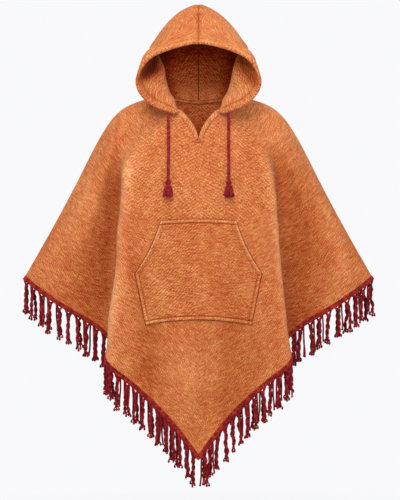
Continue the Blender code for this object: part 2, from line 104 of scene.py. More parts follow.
# Sections of half the hood, from the neck seam up to the top seam. Columns: share of the height, then
# x, y, z at the face edge, the casing's stitch line, the cheek, the side, the nape and the centre seam.
HOOD_STATIONS = (0.0, 0.047, 0.28, 0.50, 0.74, 1.0)
HOOD_SECTIONS = (
    (0.00, (65, -121, -32), (51, -110, -23), (66, -86, -12), (97, -4, 18), (67, 62, 13), (0, 88, 5)),
    (0.12, (98, -121, -21), (86, -112, -9), (66, -84, 4), (99, -2, 32), (73, 67, 32), (0, 99, 32)),
    (0.25, (131, -122, -5), (120, -112, 7), (76, -76, 20), (104, 2, 50), (81, 73, 54), (0, 108, 62)),
    (0.38, (158, -122, 22), (144, -112, 29), (86, -68, 46), (112, 4, 78), (88, 79, 82), (0, 115, 96)),
    (0.50, (168, -123, 54), (157, -111, 58), (93, -62, 76), (122, 4, 108), (92, 81, 112), (0, 119, 130)),
    (0.62, (156, -126, 86), (158, -111, 91), (105, -66, 110), (131, -2, 142), (88, 79, 148), (0, 117, 164)),
    (0.75, (127, -129, 119), (136, -115, 127), (116, -76, 151), (112, -8, 178), (70, 68, 196), (0, 107, 200)),
    (0.88, (70, -131, 144), (72, -118, 154), (76, -88, 181), (68, -22, 226), (45, 54, 241), (0, 90, 234)),
    (1.00, (0, -132, 157), (0, -120, 168), (0, -90, 194), (0, -28, 243), (0, 34, 266), (0, 66, 258)),
)

# Creases on the front and the back, as they look from the front. Columns: x and z where
# the crease starts, x and z where it ends, its width and its height, which is below 0 for a hollow.
FRONT_CREASES = (
    (-232, -96, -396, -470, 28, 4.5),
    (-244, -110, -298, -650, 40, -9.0),
    (-206, -110, -216, -380, 22, 8.0),
    (-214, -330, -250, -620, 20, 8.0),
    (-330, -260, -436, -455, 20, 3.0),
    (238, -92, 402, -470, 30, 5.0),
    (242, -180, 284, -650, 36, -10.5),
    (282, -210, 356, -520, 25, -4.0),
    (300, -330, 300, -560, 20, 3.0),
    (-172, -430, -150, -800, 26, -11.0),
    (-62, -600, -46, -880, 24, 3.5),
    (84, -560, 70, -880, 38, -10.0),
    (190, -330, 196, -650, 20, -2.0),
    (-8, -600, -4, -905, 20, -2.0),
    (150, -590, 136, -800, 24, -4.0),
    (-106, -58, -206, -142, 16, 2.6),
    (-122, -104, -168, -262, 17, -2.6),
    (112, -66, 214, -136, 16, 2.8),
    (128, -116, 172, -286, 18, -2.8),
    (-20, -640, -14, -800, 22, 2.4),
    (-40, -150, -62, -236, 16, 1.4),
    (30, -146, 48, -214, 15, -1.4),
)

# Painted shade and painted light: soft darker and lighter patches of the front. Columns: x, z, half width
# and half height in millimetres, and how much darker the patch is, which is below 0 where it is lighter.
FRONT_SHADE_PATCHES = (
    (90, -130, 24, 60, -0.11),
    (252, -416, 20, 110, 0.10),
    (220, -430, 14, 110, -0.08),
    (-310, -450, 50, 110, 0.06),
    (-233, -425, 11, 70, -0.20),
)

BACK_CREASES = (
    (-42, -60, -74, -600, 30, 4.0),
    (52, -110, 84, -700, 28, -4.5),
    (-128, -240, -150, -770, 26, -5.5),
    (138, -280, 152, -780, 28, 4.5),
    (-4, -480, -16, -930, 26, -4.5),
    (-244, -100, -402, -480, 28, 4.5),
    (252, -116, 392, -490, 26, 4.5),
    (268, -210, 350, -540, 22, -4.5),
    (-276, -230, -342, -540, 24, -5.0),
    (-96, -40, -178, -120, 18, 2.6),
    (90, -44, 196, -130, 17, 2.4),
    (-60, -34, 62, -38, 14, 1.6),
)

# Creases of the hood in its own lengths. Columns: share round the head and up it where the crease
# starts, the same where it ends, its width as a share and its height. The first column is the side.
HOOD_CREASES = (
    (1, 0.30, 0.16, 0.62, 0.30, 0.050, -2.4),
    (1, 0.16, 0.40, 0.34, 0.66, 0.045, -2.6),
    (1, 0.46, 0.58, 0.80, 0.74, 0.060, 2.4),
    (1, 0.55, 0.86, 0.86, 0.92, 0.050, -1.6),
    (1, 0.66, 0.10, 0.90, 0.24, 0.060, 2.0),
    (1, 0.20, 0.84, 0.52, 0.78, 0.040, 1.6),
    (-1, 0.28, 0.14, 0.58, 0.34, 0.050, -2.8),
    (-1, 0.18, 0.44, 0.36, 0.60, 0.045, -3.0),
    (-1, 0.50, 0.60, 0.82, 0.68, 0.060, 2.2),
    (-1, 0.60, 0.90, 0.90, 0.84, 0.050, 1.6),
    (-1, 0.62, 0.16, 0.92, 0.20, 0.060, -2.0),
    (-1, 0.16, 0.80, 0.48, 0.82, 0.045, -1.6),
)

# The pouch pocket from the front: half widths and heights at its corners, and what its edges do
POCKET_TOP = (101.0, -323.0)
POCKET_SIDE = (170.0, -464.0)
POCKET_FOOT = (142.0, -601.0)
POCKET_TOP_RISE = 5.0
POCKET_FOOT_RISE = 14.0
POCKET_MOUTH_HOLLOW = 7.0
POCKET_HEM = 9.0
POCKET_MIDDLE_Z = -459.0
POCKET_TALL = POCKET_TOP[1] - POCKET_FOOT[1]
POCKET_TURN = (POCKET_TOP[1] - POCKET_SIDE[1]) / POCKET_TALL
# How far in from the mouths, and from the sides below them, the pocket is sewn
POCKET_MOUTH_STITCH = 13.0
POCKET_SIDE_STITCH = 8.6


def linear(hex_text):
    """An sRGB hex colour as linear red, green, blue and alpha."""
    parts = [int(hex_text[i : i + 2], 16) / 255 for i in (1, 3, 5)]
    return (*(c / 12.92 if c <= 0.04045 else ((c + 0.055) / 1.055) ** 2.4 for c in parts), 1.0)


def colour_setting(name, description, hex_text):
    """A colour that a user would change."""
    return FloatVectorProperty(
        name=name, description=description, subtype="COLOR", default=linear(hex_text)[:3], size=3
    )


class PonchoSettings(bpy.types.PropertyGroup):
    """Sizes and colours that a user would change."""

    wool: colour_setting("Wool", "Main colour of the cloth", "#C26133")
    wool_light: colour_setting("Light wool", "Lighter fibres", "#E2A468")
    wool_dark: colour_setting("Dark wool", "Darker fibres", "#983E17")
    yarn: colour_setting("Yarn", "Colour of the fringe", "#760D16")
    edging: colour_setting("Edging", "Colour of the red edge", "#861816")
    cloth_wall: FloatProperty(
        name="Cloth", description="Thickness of the cloth", default=CLOTH * MM, min=0.001, unit="LENGTH"
    )
    fringe_length: FloatProperty(
        name="Fringe", description="Length of the fringe", default=0.089, min=0.03, unit="LENGTH"
    )
    bunches: IntProperty(
        name="Bunches", description="Fringe bunches on a quarter", default=FRINGE_BUNCHES, min=4
    )


def poncho():
    """The sizes and colours set in this scene."""
    return bpy.context.scene.poncho


def spline_weights(knots, at, flat=(False, False)):
    """How much each knot's value counts at each place in at, for a cubic spline through the knots."""
    knots = np.asarray(knots, float)
    at = np.clip(np.asarray(at, float), knots[0], knots[-1])
    count = len(knots)
    step = np.diff(knots)
    system = np.eye(count)
    right = np.zeros((count, count))
    for i in range(1, count - 1):
        system[i, i - 1 : i + 2] = step[i - 1], 2 * (step[i - 1] + step[i]), step[i]
        right[i, i - 1] += 6 / step[i - 1]
        right[i, i] -= 6 / step[i - 1] + 6 / step[i]
        right[i, i + 1] += 6 / step[i]
    if flat[0]:
        system[0, :2] = 2 * step[0], step[0]
        right[0, :2] = -6 / step[0], 6 / step[0]
    if flat[1]:
        system[-1, -2:] = step[-1], 2 * step[-1]
        right[-1, -2:] = 6 / step[-1], -6 / step[-1]
    bend = np.linalg.solve(system, right)
    cell = np.clip(np.searchsorted(knots, at, side="right") - 1, 0, count - 2)
    wide = step[cell]
    b = (at - knots[cell]) / wide
    a = 1 - b
    whole = np.eye(count)
    curve_a = ((a**3 - a) * wide**2 / 6)[:, None] * bend[cell]
    curve_b = ((b**3 - b) * wide**2 / 6)[:, None] * bend[cell + 1]
    return a[:, None] * whole[cell] + b[:, None] * whole[cell + 1] + curve_a + curve_b


def unit(vectors):
    """The same ways with a length of 1."""
    return vectors / np.maximum(np.linalg.norm(vectors, axis=-1, keepdims=True), 1e-9)


def smooth(value, low, high):
    """0 below low, 1 above high and an even turn between them."""
    share = np.clip((value - low) / (high - low), 0, 1)
    return share * share * (3 - 2 * share)


def bell(off, width):
    """1 where off is 0, falling to nothing over about twice the width on each side."""
    return np.exp(-((off / width) ** 2))


def lengths_along(points):
    """How far along a line each of its points is."""
    return np.concatenate([[0], np.cumsum(np.linalg.norm(np.diff(points, axis=0), axis=1))])


def read_at(at, lengths, values):
    """A line's values, a row for each of its points, at other places along it."""
    return np.stack([np.interp(at, lengths, column) for column in values.T], axis=-1)


def body_net():
    """The ribs' points and each rib's place round the body, from 0 in front to 1 at the back."""
    net = np.array([row[1:] for row in RIBS], float)
    apart = np.linalg.norm(np.diff(net, axis=0), axis=2)[:, 2:].mean(axis=1)
    round_body = np.concatenate([[0], np.cumsum(apart)])
    return net, round_body / round_body[-1]


BODY_NET, BODY_U = body_net()
U_SLIT, U_PANEL, U_RIDGE, U_VALLEY, U_WING = BODY_U[2:7]
U_EDGE, _, U_WING_BACK, U_VALLEY_BACK, U_RIDGE_BACK = BODY_U[8:13]


def along_profile(rib, z):
    """The depth of a rib at the heights z, carried on straight past its ends."""
    heights, depths = rib[::-1, 2], rib[::-1, 1]
    inside = spline_weights(heights, z) @ depths
    near = spline_weights(heights, heights[[0, -1]] + (1, -1)) @ depths
    below = np.minimum(z - heights[0], 0) * (near[0] - depths[0])
    above = np.maximum(z - heights[-1], 0) * (depths[-1] - near[1])
    return inside + below + above


def shared_depth(u, z):
    """The depth that the body has from its profile: the front's, turning into the back's at the arm."""
    share = smooth(u, U_WING, U_WING_BACK)
    return along_profile(BODY_NET[0], z) * (1 - share) + along_profile(BODY_NET[-1], z) * share


def own_depths():
    """What each of the net's points adds to the shared depth."""
    own = BODY_NET[:, :, 1].copy()
    for i, u in enumerate(BODY_U):
        own[i] -= shared_depth(np.full(own.shape[1], u), BODY_NET[i, :, 2])
    return own


BODY_OWN_DEPTH = own_depths()


def body_points(u, v):
    """The CAD's own surface: u is 0 at the centre front and 1 or -1 at the centre back, v is 1 at the hem."""
    u, v = np.broadcast_arrays(np.asarray(u, float), np.asarray(v, float))
    shape = u.shape
    turned = (u.ravel() + 1) % 2 - 1
    side = np.where(turned < 0, -1.0, 1.0)
    turned = abs(turned)
    along = spline_weights(STATIONS, v.ravel())
    free = spline_weights(BODY_U, turned)
    level = spline_weights(BODY_U, turned, flat=(True, True))
    x = side * np.einsum("pi,pj,ij->p", free, along, BODY_NET[:, :, 0])
    z = np.einsum("pi,pj,ij->p", free, along, BODY_NET[:, :, 2])
    y = np.einsum("pi,pj,ij->p", level, along, BODY_OWN_DEPTH) + shared_depth(turned, z)
    return np.stack([x, y, z], axis=-1).reshape(*shape, 3)


def frame_of(points_of, u, v):
    """Unit vectors of a surface at a point: round it, down it and out of it."""
    small = 0.002
    u, v = np.asarray(u, float), np.asarray(v, float)
    across = unit(points_of(u + small, v) - points_of(u - small, v))
    low, high = np.clip(v - small, 0, 1), np.clip(v + small, 0, 1)
    down = unit(points_of(u, high) - points_of(u, low))
    return across, down, -unit(np.cross(across, down))


def crease_heights(a, b, creases, bowed, wide, ends):
    """The height of the listed creases at a and b, in millimetres.

    bowed is how far a crease bends off a straight line, as a share of its length, wide how wide it is
    at its start and how much wider at its end, and ends where it swells up and dies away again.
    """
    total = np.zeros(np.shape(a))
    for a0, b0, a1, b1, width, height in creases:
        run = np.array([a1 - a0, b1 - b0], float)
        length = np.linalg.norm(run)
        run /= length
        along = ((a - a0) * run[0] + (b - b0) * run[1]) / length
        reach = np.clip(along, 0, 1)
        bow = bowed * length * np.sin(reach * math.pi) * (1 if (a0 + b1) % 2 > 1 else -1)
        off = (a - a0) * run[1] - (b - b0) * run[0] - bow
        swell = smooth(along, *ends[:2]) * (1 - smooth(along, *ends[2:]))
        total += height * swell * bell(off, width * (wide[0] + wide[1] * reach))
    return total


def slow_waves(a, b, seed, size):
    """An uneven surface of long low waves, from -1 to 1."""
    chance = random.Random(seed)
    total = np.zeros(np.shape(a))
    for _ in range(6):
        turn, phase = chance.uniform(0, math.pi), chance.uniform(0, 6)
        pitch = size * chance.uniform(0.7, 1.6)
        total += np.sin((a * math.cos(turn) + b * math.sin(turn)) * 2 * math.pi / pitch + phase)
    return total / 4


def body_relief(points, u, v):
    """The height of the body's cloth over the CAD's surface."""
    turned = abs((np.asarray(u, float) + 1) % 2 - 1)
    x, z = points[..., 0], points[..., 2]
    front, back = (
        crease_heights(x, z, creases, 0.06, (0.8, 0.5), (-0.12, 0.25, 0.8, 1.15))
        for creases in (FRONT_CREASES, BACK_CREASES)
    )
    height = np.where(turned < U_EDGE, front, back)
    height = height + 0.9 * slow_waves(x, z, 5, 90) + 0.35 * slow_waves(x, z, 9, 34)
    hold = smooth(abs(turned - U_EDGE), 0.0, 0.05) * smooth(v, 0.0, 0.12)
    near_cord = 1 - 0.9 * bell(abs(x) - CORD_X, 22) * (turned < U_EDGE) * (z > -275)
    return height * hold * near_cord


def off_cloth(u, v, lift=0.0):
    """Points over the body's creased cloth, and the way out of it."""
    points = body_points(u, v)
    _, _, out = frame_of(body_points, u, v)
    return points + out * (body_relief(points, u, v) + lift)[..., None], out


def cloth_points(u, v):
    """The body's cloth with its creases."""
    return off_cloth(u, v)[0]


def fold_shade(points, u, v):
    """Painted shade in hollows and beside the folds over the arms, painted light along their crests and on the
    shoulders, and the front's painted patches.
    """
    turned = abs((np.asarray(u, float) + 1) % 2 - 1)
    front = turned < U_EDGE
    crest = np.where(front, U_RIDGE - 0.004, U_RIDGE_BACK + 0.004)
    valley = np.where(front, U_VALLEY + 0.012, U_VALLEY_BACK - 0.012)
    deep = smooth(np.asarray(v, float), 0.18, 0.42)
    x, z = points[..., 0], points[..., 2]
    light = 0.20 * bell(turned - crest, 0.020) * deep
    dark = 0.18 * bell(turned - valley, 0.040) * deep
    # Painted light on the shoulders, where the nap catches the light from above.
    shoulder = 0.05 + 0.03 * smooth(turned, U_RIDGE, U_WING)
    shoulder = shoulder * (1 - smooth(np.asarray(v, float), 0.12, 0.40))
    patches = sum(
        much * bell(x - at_x, wide) * bell(z - at_z, high) for at_x, at_z, wide, high, much in FRONT_SHADE_PATCHES
    )
    return dark - light - shoulder + patches * front - 0.020 * body_relief(points, u, v)


def rib_lay(u, v):
    """Which way the weave's ribs lie: they meet in an arch on the chest and in a V below it."""
    turned = (np.asarray(u, float) + 1) % 2 - 1
    chest = (1 - smooth(np.asarray(v, float), 0.40, 0.47)) * (1 - smooth(abs(turned), U_RIDGE, U_VALLEY))
    return np.where(turned > 0, chest, 1 - chest)


def find_on_front(x, z):
    """The u and v of the front's points that show at x and z from the front."""
    u, v = 0.15 * np.sign(x), np.full(np.shape(x), 0.4)
    small = 0.001
    for _ in range(25):
        here = body_points(u, v)
        by_u = (body_points(u + small, v) - here) / small
        by_v = (body_points(u, v + small) - here) / small
        miss_x, miss_z = x - here[..., 0], z - here[..., 2]
        det = by_u[..., 0] * by_v[..., 2] - by_v[..., 0] * by_u[..., 2]
        u = np.clip(u + (miss_x * by_v[..., 2] - miss_z * by_v[..., 0]) / det, -U_EDGE, U_EDGE)
        v = np.clip(v + (miss_z * by_u[..., 0] - miss_x * by_u[..., 2]) / det, 0.01, 0.97)
    return u, v


def hood_surface(s, t):
    """The CAD's right half of the hood: s is 0 at the face and 1 at the seam, t is 1 at the top."""
    heights = [row[0] for row in HOOD_SECTIONS]
    net = np.array([row[1:] for row in HOOD_SECTIONS], float)
    shape = np.broadcast(s, t).shape
    s = np.broadcast_to(np.asarray(s, float), shape).ravel()
    t = np.broadcast_to(np.asarray(t, float), shape).ravel()
    free_s = spline_weights(HOOD_STATIONS, s)
    level_s = spline_weights(HOOD_STATIONS, s, flat=(False, True))
    free_t = spline_weights(heights, t)
    level_t = spline_weights(heights, t, flat=(False, True))
    x = np.einsum("pi,pj,ij->p", free_t, free_s, net[:, :, 0])
    y = np.einsum("pi,pj,ij->p", level_t, level_s, net[:, :, 1])
    z = np.einsum("pi,pj,ij->p", level_t, level_s, net[:, :, 2])
    return np.stack([x, y, z], axis=-1).reshape(*shape, 3)


def hood_points(s, t):
    """The right half of the hood, with its lower edge on the neckline."""
    points = hood_surface(s, t)
    stitch = HOOD_STATIONS[1]
    on_body = U_SLIT, U_PANEL, U_EDGE, U_RIDGE_BACK, 1
    u = np.interp(np.clip(s, stitch, 1), (stitch, *HOOD_STATIONS[2:]), on_body)
    foot = hood_surface(s, np.zeros_like(t))
    rise = unit(hood_surface(s, np.full_like(t, 0.02)) - foot)
    target = body_points(u, np.zeros_like(u)) + rise * 0.8
    fade = np.clip(1 - t / 0.3, 0, 1) ** 2
    on_seam = np.where(s < stitch, s / stitch, 1.0)
    return points + (target - foot) * (fade * on_seam)[..., None]


def hood_out(s, t):
    """The way out of the hood, which lies in the middle plane along the centre seam."""
    small = 0.004
    s = np.where((s > 1 - 1e-9) & (t > 1 - 1e-9), 0.95, s)
    low, high = np.clip(s - small, 0, 1), np.clip(s + small, 0, 1)
    round_head = hood_points(high, t) - hood_points(low, t)
    low, high = np.clip(t - small, 0, 1), np.clip(t + small, 0, 1)
    up = hood_points(s, high) - hood_points(s, low)
    out = np.cross(round_head, up)
    out[(s > 1 - 1e-9) | (t > 1 - 1e-9), 0] = 0
    return unit(out)


def off_hood(s, t, lift):
    """Points over the right half of the hood, or under it where the lift is below 0."""
    return hood_points(s, t) + hood_out(s, t) * (np.zeros(np.shape(s)) + lift)[..., None]


def take(piece, *nodes, slot):
    """Puts the piece in the frame: it rides on the root body and stands for those nodes."""
    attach(piece, "root")
    if nodes:
        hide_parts(*nodes)
    return piece


def link(name, data, material):
    """An object of that name at the origin, in the scene."""
    piece = bpy.data.objects.new(name, data)
    data.materials.append(material)
    bpy.context.scene.collection.objects.link(piece)
    return piece


def new_grid(wide, high):
    """A flat grid of that many points each way, and each point's column and row."""
    bm = bmesh.new()
    bmesh.ops.create_grid(bm, x_segments=wide - 1, y_segments=high - 1, size=1.0)
    bm.verts.ensure_lookup_table()
    spots = (np.array([vert.co[:2] for vert in bm.verts]) + 1) / 2 * (wide - 1, high - 1)
    return bm, *np.rint(spots).astype(int).T


def from_bmesh(name, bm, material):
    """An object of that name with the mesh, which is used up."""
    data = bpy.data.meshes.new(name)
    bm.to_mesh(data)
    bm.free()
    return link(name, data, material)


def cloth_grid(name, columns, rows, place, material, wall=CLOTH, walls=None, inside=None):
    """A sheet of cloth from a grid: place(column, row) gives its points and the way out of it.

    Its UV map is in metres along the cloth, so a weave follows it. More values from place are its painted
    shade outside, how much darker the cloth is, which is below 0 where it is painted lighter, the way its ribs
    lie, from 0 to 1, its painted shade inside, and its painted bounce light, which makes the inside redder and
    brighter.
    """
    wide, high = len(columns), len(rows)
    bm, i, j = new_grid(wide, high)
    points, out, *shades = place(columns[i], rows[j])
    net = np.zeros((wide, high, 3))
    net[i, j] = points
    along_u, along_v = np.zeros((2, wide, high))
    along_u[1:] = np.cumsum(np.linalg.norm(np.diff(net, axis=0), axis=2), axis=0)
    along_v[:, 1:] = np.cumsum(np.linalg.norm(np.diff(net, axis=1), axis=2), axis=1)
    along_u -= along_u[wide // 2]
    for vert, point in zip(bm.verts, points):
        vert.co = point * MM
    uv = bm.loops.layers.uv.new("cloth")
    for face in bm.faces:
        face.smooth = True
        for loop in face.loops:
            k = loop.vert.index
            loop[uv].uv = along_u[i[k], j[k]] * MM, along_v[i[k], j[k]] * MM
    bm.normal_update()
    facing = sum(float(np.dot(vert.normal, out[vert.index])) for vert in bm.verts)
    if facing < 0:
        bmesh.ops.reverse_faces(bm, faces=bm.faces)
    piece = from_bmesh(name, bm, material)
    for label, shade in zip(("shade", "lay", "inside", "painted_bounce"), shades):
        piece.data.attributes.new(label, "FLOAT", "POINT").data.foreach_set("value", shade.astype(np.float32))
    solid = piece.modifiers.new("wall", "SOLIDIFY")
    if inside:
        piece.data.materials.append(inside)
        solid.material_offset = 1
    solid.thickness = wall * MM
    solid.offset = 0.0
    if walls is not None:
        group = piece.vertex_groups.new(name="wall")
        shares = walls(columns[i], rows[j]) / wall
        for k, share in enumerate(shares):
            group.add([k], float(share), "REPLACE")
        solid.vertex_group = "wall"
    return piece


def refine(marks, cells):
    """Places from mark to mark, with that many cells between each two."""
    places = [marks[0]]
    for low, high, count in zip(marks, marks[1:], cells):
        places.extend(np.linspace(low, high, count + 1)[1:])
    return np.array(places)


def yarn_curve(name, strands, material, sides=1):
    """A curve of many yarns. Each strand is a list of (point, radius), in millimetres."""
    curve = bpy.data.curves.new(name, "CURVE")
    curve.dimensions = "3D"
    curve.bevel_depth = MM
    curve.bevel_resolution = sides
    curve.use_fill_caps = True
    for strand in strands:
        spline = curve.splines.new("POLY")
        spline.points.add(len(strand) - 1)
        for point, (place, radius) in zip(spline.points, strand):
            point.co = (*(np.asarray(place) * MM), 1.0)
            point.radius = radius
        spline.use_smooth = True
    return link(name, curve, material)


def fill(tree, node, **links):
    """Sets a node's own sockets to values, or links them to the sockets of other nodes.

    A socket goes by its name, with _ for a space, or by i and its number.
    """
    for key, value in links.items():
        by_number = key[0] == "i" and key[1:].isdigit()
        socket = node.inputs[int(key[1:]) if by_number else key.replace("_", " ")]
        if isinstance(value, bpy.types.NodeSocket):
            tree.links.new(value, socket)
        else:
            socket.default_value = value


def add(tree, kind, settings=None, stops=(), **links):
    """Adds a node, with its settings, the stops of its colour ramp, and its links, in rows of eight."""
    row, column = divmod(len(tree.nodes), 8)
    made = tree.nodes.new(kind)
    made.location = 200 * column - 1800, -300 * row
    for key, value in (settings or {}).items():
        setattr(made, key, value)
    for _ in stops[2:]:
        made.color_ramp.elements.new(0.5)
    for number, (position, colour) in enumerate(stops):
        made.color_ramp.elements[number].position = position
        made.color_ramp.elements[number].color = colour
    fill(tree, made, **links)
    return made


def new_material(name):
    """A material, its node tree and its shader."""
    made = bpy.data.materials.new(name)
    made.use_nodes = True
    tree = made.node_tree
    shader = tree.nodes["Principled BSDF"]
    return made, tree, shader


def twill(tree, uv, turn):
    """Ribs of a twill weave that lie at that angle to the cloth's own grain."""
    turned = 0, 0, math.radians(turn)
    laid = add(tree, "ShaderNodeMapping", {"vector_type": "TEXTURE"}, Vector=uv, Rotation=turned)
    # Ribs 6.5 mm apart stand for ribs of a third of that, too fine to show.
    return add(
        tree,
        "ShaderNodeTexWave",
        {"bands_direction": "X"},
        Vector=laid.outputs["Vector"],
        Scale=48.0,
        Distortion=6.5,
        Detail=2.0,
        Detail_Scale=1.5,
    ).outputs["Fac"]


def weighted(tree, *terms):
    """The sum of values, each multiplied by its weight."""
    total = 0.0
    for value, weight in terms:
        step = add(tree, "ShaderNodeMath", {"operation": "MULTIPLY_ADD"}, i0=value, i1=weight, i2=total)
        total = step.outputs["Value"]
    return total


def heathered_wool(name, shade_name="shade", painted_bounce=0.0):
    """Brushed woollen cloth in mixed orange fibres: dry and matt, with a soft nap that catches light."""
    made, tree, shader = new_material(name)
    prefs = poncho()
    uv = add(tree, "ShaderNodeUVMap", {"uv_map": "cloth"}).outputs["UV"]
    place = add(tree, "ShaderNodeTexCoord").outputs["Object"]
    shade, depth, lay = (
        add(tree, "ShaderNodeAttribute", {"attribute_name": label}).outputs["Fac"]
        for label in (shade_name, "painted_bounce", "lay")
    )
    ribs = {"i2": twill(tree, uv, 45), "i3": twill(tree, uv, -45)}
    threads = add(tree, "ShaderNodeMix", {"data_type": "FLOAT"}, i0=lay, **ribs).outputs[0]
    along_weft = add(tree, "ShaderNodeMapping", {"vector_type": "TEXTURE"}, Vector=uv, Scale=(4.5, 1.0, 1.0))
    laid = along_weft.outputs["Vector"]
    # Flecks 1.5 to 3 mm wide, and streaks of weft 5 mm wide and 20 mm long, stand for fibres and yarns
    # of a tenth and a third of that, too fine to show. Clouds of 30 mm and patches of 160 mm are where
    # the brushed nap lies one way or the other. Columns: coordinates, scale, detail, roughness.
    flecks, weft, dyed, clouds, patches = (
        add(tree, "ShaderNodeTexNoise", Vector=at, Scale=size, Detail=detail, Roughness=rough).outputs["Fac"]
        for at, size, detail, rough in (
            (place, 700.0, 2.0, 0.7),
            (laid, 210.0, 2.0, 0.5),
            (laid, 120.0, 1.0, 0.5),
            (place, 30.0, 3.0, 0.6),
            (place, 6.0, 2.0, 0.5),
        )
    )
    # Half the patterns' weights and the last, even one add up to 0.5, the middle of the colours.
    weights = (threads, 0.05), (flecks, 0.38), (weft, 0.16), (clouds, 0.06), (patches, 0.07), (1.0, 0.14)
    colours = (*prefs.wool_dark, 1.0), (*prefs.wool, 1.0), (*prefs.wool_light, 1.0)
    stops = tuple(zip((0.43, 0.50, 0.58), colours))
    fibres = add(tree, "ShaderNodeValToRGB", stops=stops, Fac=weighted(tree, *weights)).outputs["Color"]
    # Painted shade turns a fold redder as well as darker, as light bounces about in it.
    # Painted bounce light makes the hood's depth and the inside near the neck redder and brighter, where all
    # the light has already touched wool.
    deeper = weighted(tree, (shade, 0.9), (depth, painted_bounce), (1.0, 1.0))
    redder = add(tree, "ShaderNodeGamma", Color=fibres, Gamma=deeper).outputs["Color"]
    bright = weighted(tree, (shade, -0.6), (depth, painted_bounce * 2.4), (1.0, 1.0))
    shaded = add(tree, "ShaderNodeVectorMath", {"operation": "SCALE"}, i0=redder, i3=bright).outputs["Vector"]
    # The mixed fibres run from red to gold in short streaks along the weft, without getting darker.
    hue = weighted(tree, (dyed, 0.038), (1.0, 0.4823))
    mottled = add(tree, "ShaderNodeHueSaturation", Hue=hue, Color=shaded).outputs["Color"]
    relief = weighted(tree, (threads, 0.25), (flecks, 1.0))
    bump = add(tree, "ShaderNodeBump", Strength=0.6, Distance=0.0014, Height=relief).outputs["Normal"]
    fill(tree, shader, Base_Color=mottled, Normal=bump, Roughness=0.95, Specular_IOR_Level=0.12)
    fill(tree, shader, Sheen_Weight=0.27, Sheen_Roughness=0.5, Sheen_Tint=linear("#FFD49C"))
    return made


def spun_yarn(name, colour, light, grain):
    """Spun and twisted yarn: dull, a little hairy, mottled by noise between a darker and a lighter tone,
    painted shade and painted highlight that stand for the plies' hollows and crowns but fall at random.
    """
    made, tree, shader = new_material(name)
    place = add(tree, "ShaderNodeTexCoord").outputs["Object"]
    fibre, slow = (
        add(tree, "ShaderNodeTexNoise", Vector=place, Scale=size, Detail=detail, Roughness=rough).outputs["Fac"]
        for size, detail, rough in ((grain, 3.0, 0.7), (grain * 0.2, 1.0, 0.5))
    )
    mixed = weighted(tree, (fibre, 0.6), (slow, 0.4))
    # Painted shade for the hollows between plies and painted highlight for their crowns, laid at random by the
    # noise.
    deep = (*(c * 0.45 for c in colour[:3]), 1.0)
    stops = (0.40, deep), (0.50, colour), (0.62, light)
    shown = add(tree, "ShaderNodeValToRGB", stops=stops, Fac=mixed).outputs["Color"]
    bump = add(tree, "ShaderNodeBump", Strength=0.5, Distance=0.0008, Height=fibre).outputs["Normal"]
    fill(tree, shader, Base_Color=shown, Normal=bump, Roughness=0.8, Specular_IOR_Level=0.15)
    fill(tree, shader, Sheen_Weight=0.5, Sheen_Roughness=0.35, Sheen_Tint=light)
    return made


def wool(inside=False):
    """The cloth's material, or the one of its inside, which takes painted shade and painted bounce light, made
    when it is first asked for.
    """
    name = "heathered_wool_inside" if inside else "heathered_wool"
    return bpy.data.materials.get(name) or heathered_wool(name, *(("inside", 0.30) if inside else ()))


def yarn(name):
    """The material of that name from the table, made when it is first asked for."""
    # Columns: colour, colour of the painted highlight on the plies' crowns, which also tints the sheen, and
    # grains in a metre.
    # These are coarser than real fibres, which are too fine to show.
    colour, light, grain = {
        # The fringe, of loose wool in two plies: deep red, with soft and lighter crowns
        "twisted_wool_yarn": ((*poncho().yarn, 1.0), "#A62A34", 500.0),
        # The drawcord and its tassels, of cotton twisted hard: smoother and closer than the fringe
        "twisted_cotton_cord": (linear("#88111E"), "#B0383A", 600.0),
        # The strip that binds the hem, of close woven wool: a warmer, more even red
        "red_wool_edging": ((*poncho().edging, 1.0), "#B43A26", 420.0),
        # The topstitching, of fine thread: thin short lines, darker than the cloth as painted shade where the
        # stitches sink in
        "sewing_thread": (linear("#8E431C"), "#B86C38", 900.0),
        # Painted shadow along a seam and round the pocket, and the bar tack's dark thread: a soft brown line
        "seam_shadow_and_tack_wool": (linear("#8A3815"), "#A8501F", 400.0),
        # The roll of cloth over the neck seam's inside: paler than the cloth, as painted light where it catches
        # the light
        "seam_roll_painted_light": (linear("#F88A4C"), "#FFB078", 300.0),
    }[name]
    return bpy.data.materials.get(name) or spun_yarn(name, colour, linear(light), grain)


def half_columns(front):
    """Columns of half a panel, closer together at the folds and at the seam over the arm."""
    if front:
        return refine(BODY_U[:9], (12, 12, 10, 14, 18, 14, 10, 14))
    return refine(BODY_U[8:], (14, 10, 14, 18, 14, 12, 12))


def panel_rows():
    """Rows from neck to hem, with three more where the cloth bends at its two edges."""
    rows = refine(STATIONS, (20, 18, 26, 34))
    return np.sort(np.concatenate([rows, [0.004, 0.985, 0.992]]))


def make_panel(front):
    """The front or the back, from one arm's seam to the other's."""
    half = half_columns(front)
    columns = np.concatenate([-half[:0:-1], half]) if front else np.concatenate([half, 2 - half[-2::-1]])

    def place(u, v):
        # Outside, the folds' painted shade and light. Inside, painted shade on the back behind the slit's
        # point, a little painted light at the neck, and painted bounce light near it.
        near_neck = 1 - smooth(v, 0.1, 0.4)
        dark_inside = (0.75 * smooth(v, 0.045, 0.13) - 0.2) * near_neck
        shade = fold_shade(body_points(u, v), u, v)
        return *off_cloth(u, v), shade, rib_lay(u, v), dark_inside, 0.8 * near_neck

    name = "front_panel" if front else "back_panel"
    wall = poncho().cloth_wall / MM
    return cloth_grid(name, columns, panel_rows(), place, wool(), wall, inside=wool(True))


class PONCHO_OT_panels(bpy.types.Operator):
    """Front and back panels with their creases"""

    bl_idname = "poncho.panels"
    bl_label = "Body panels"

    def execute(self, context):
        take(make_panel(True), "front", slot="wool")
        take(make_panel(False), "back", slot="wool")
        return {"FINISHED"}


def seam_distance(s, t):
    """How far a place on the hood is from its centre seam, in millimetres."""
    return np.minimum((1 - s) * 330, (1 - t) * 240)


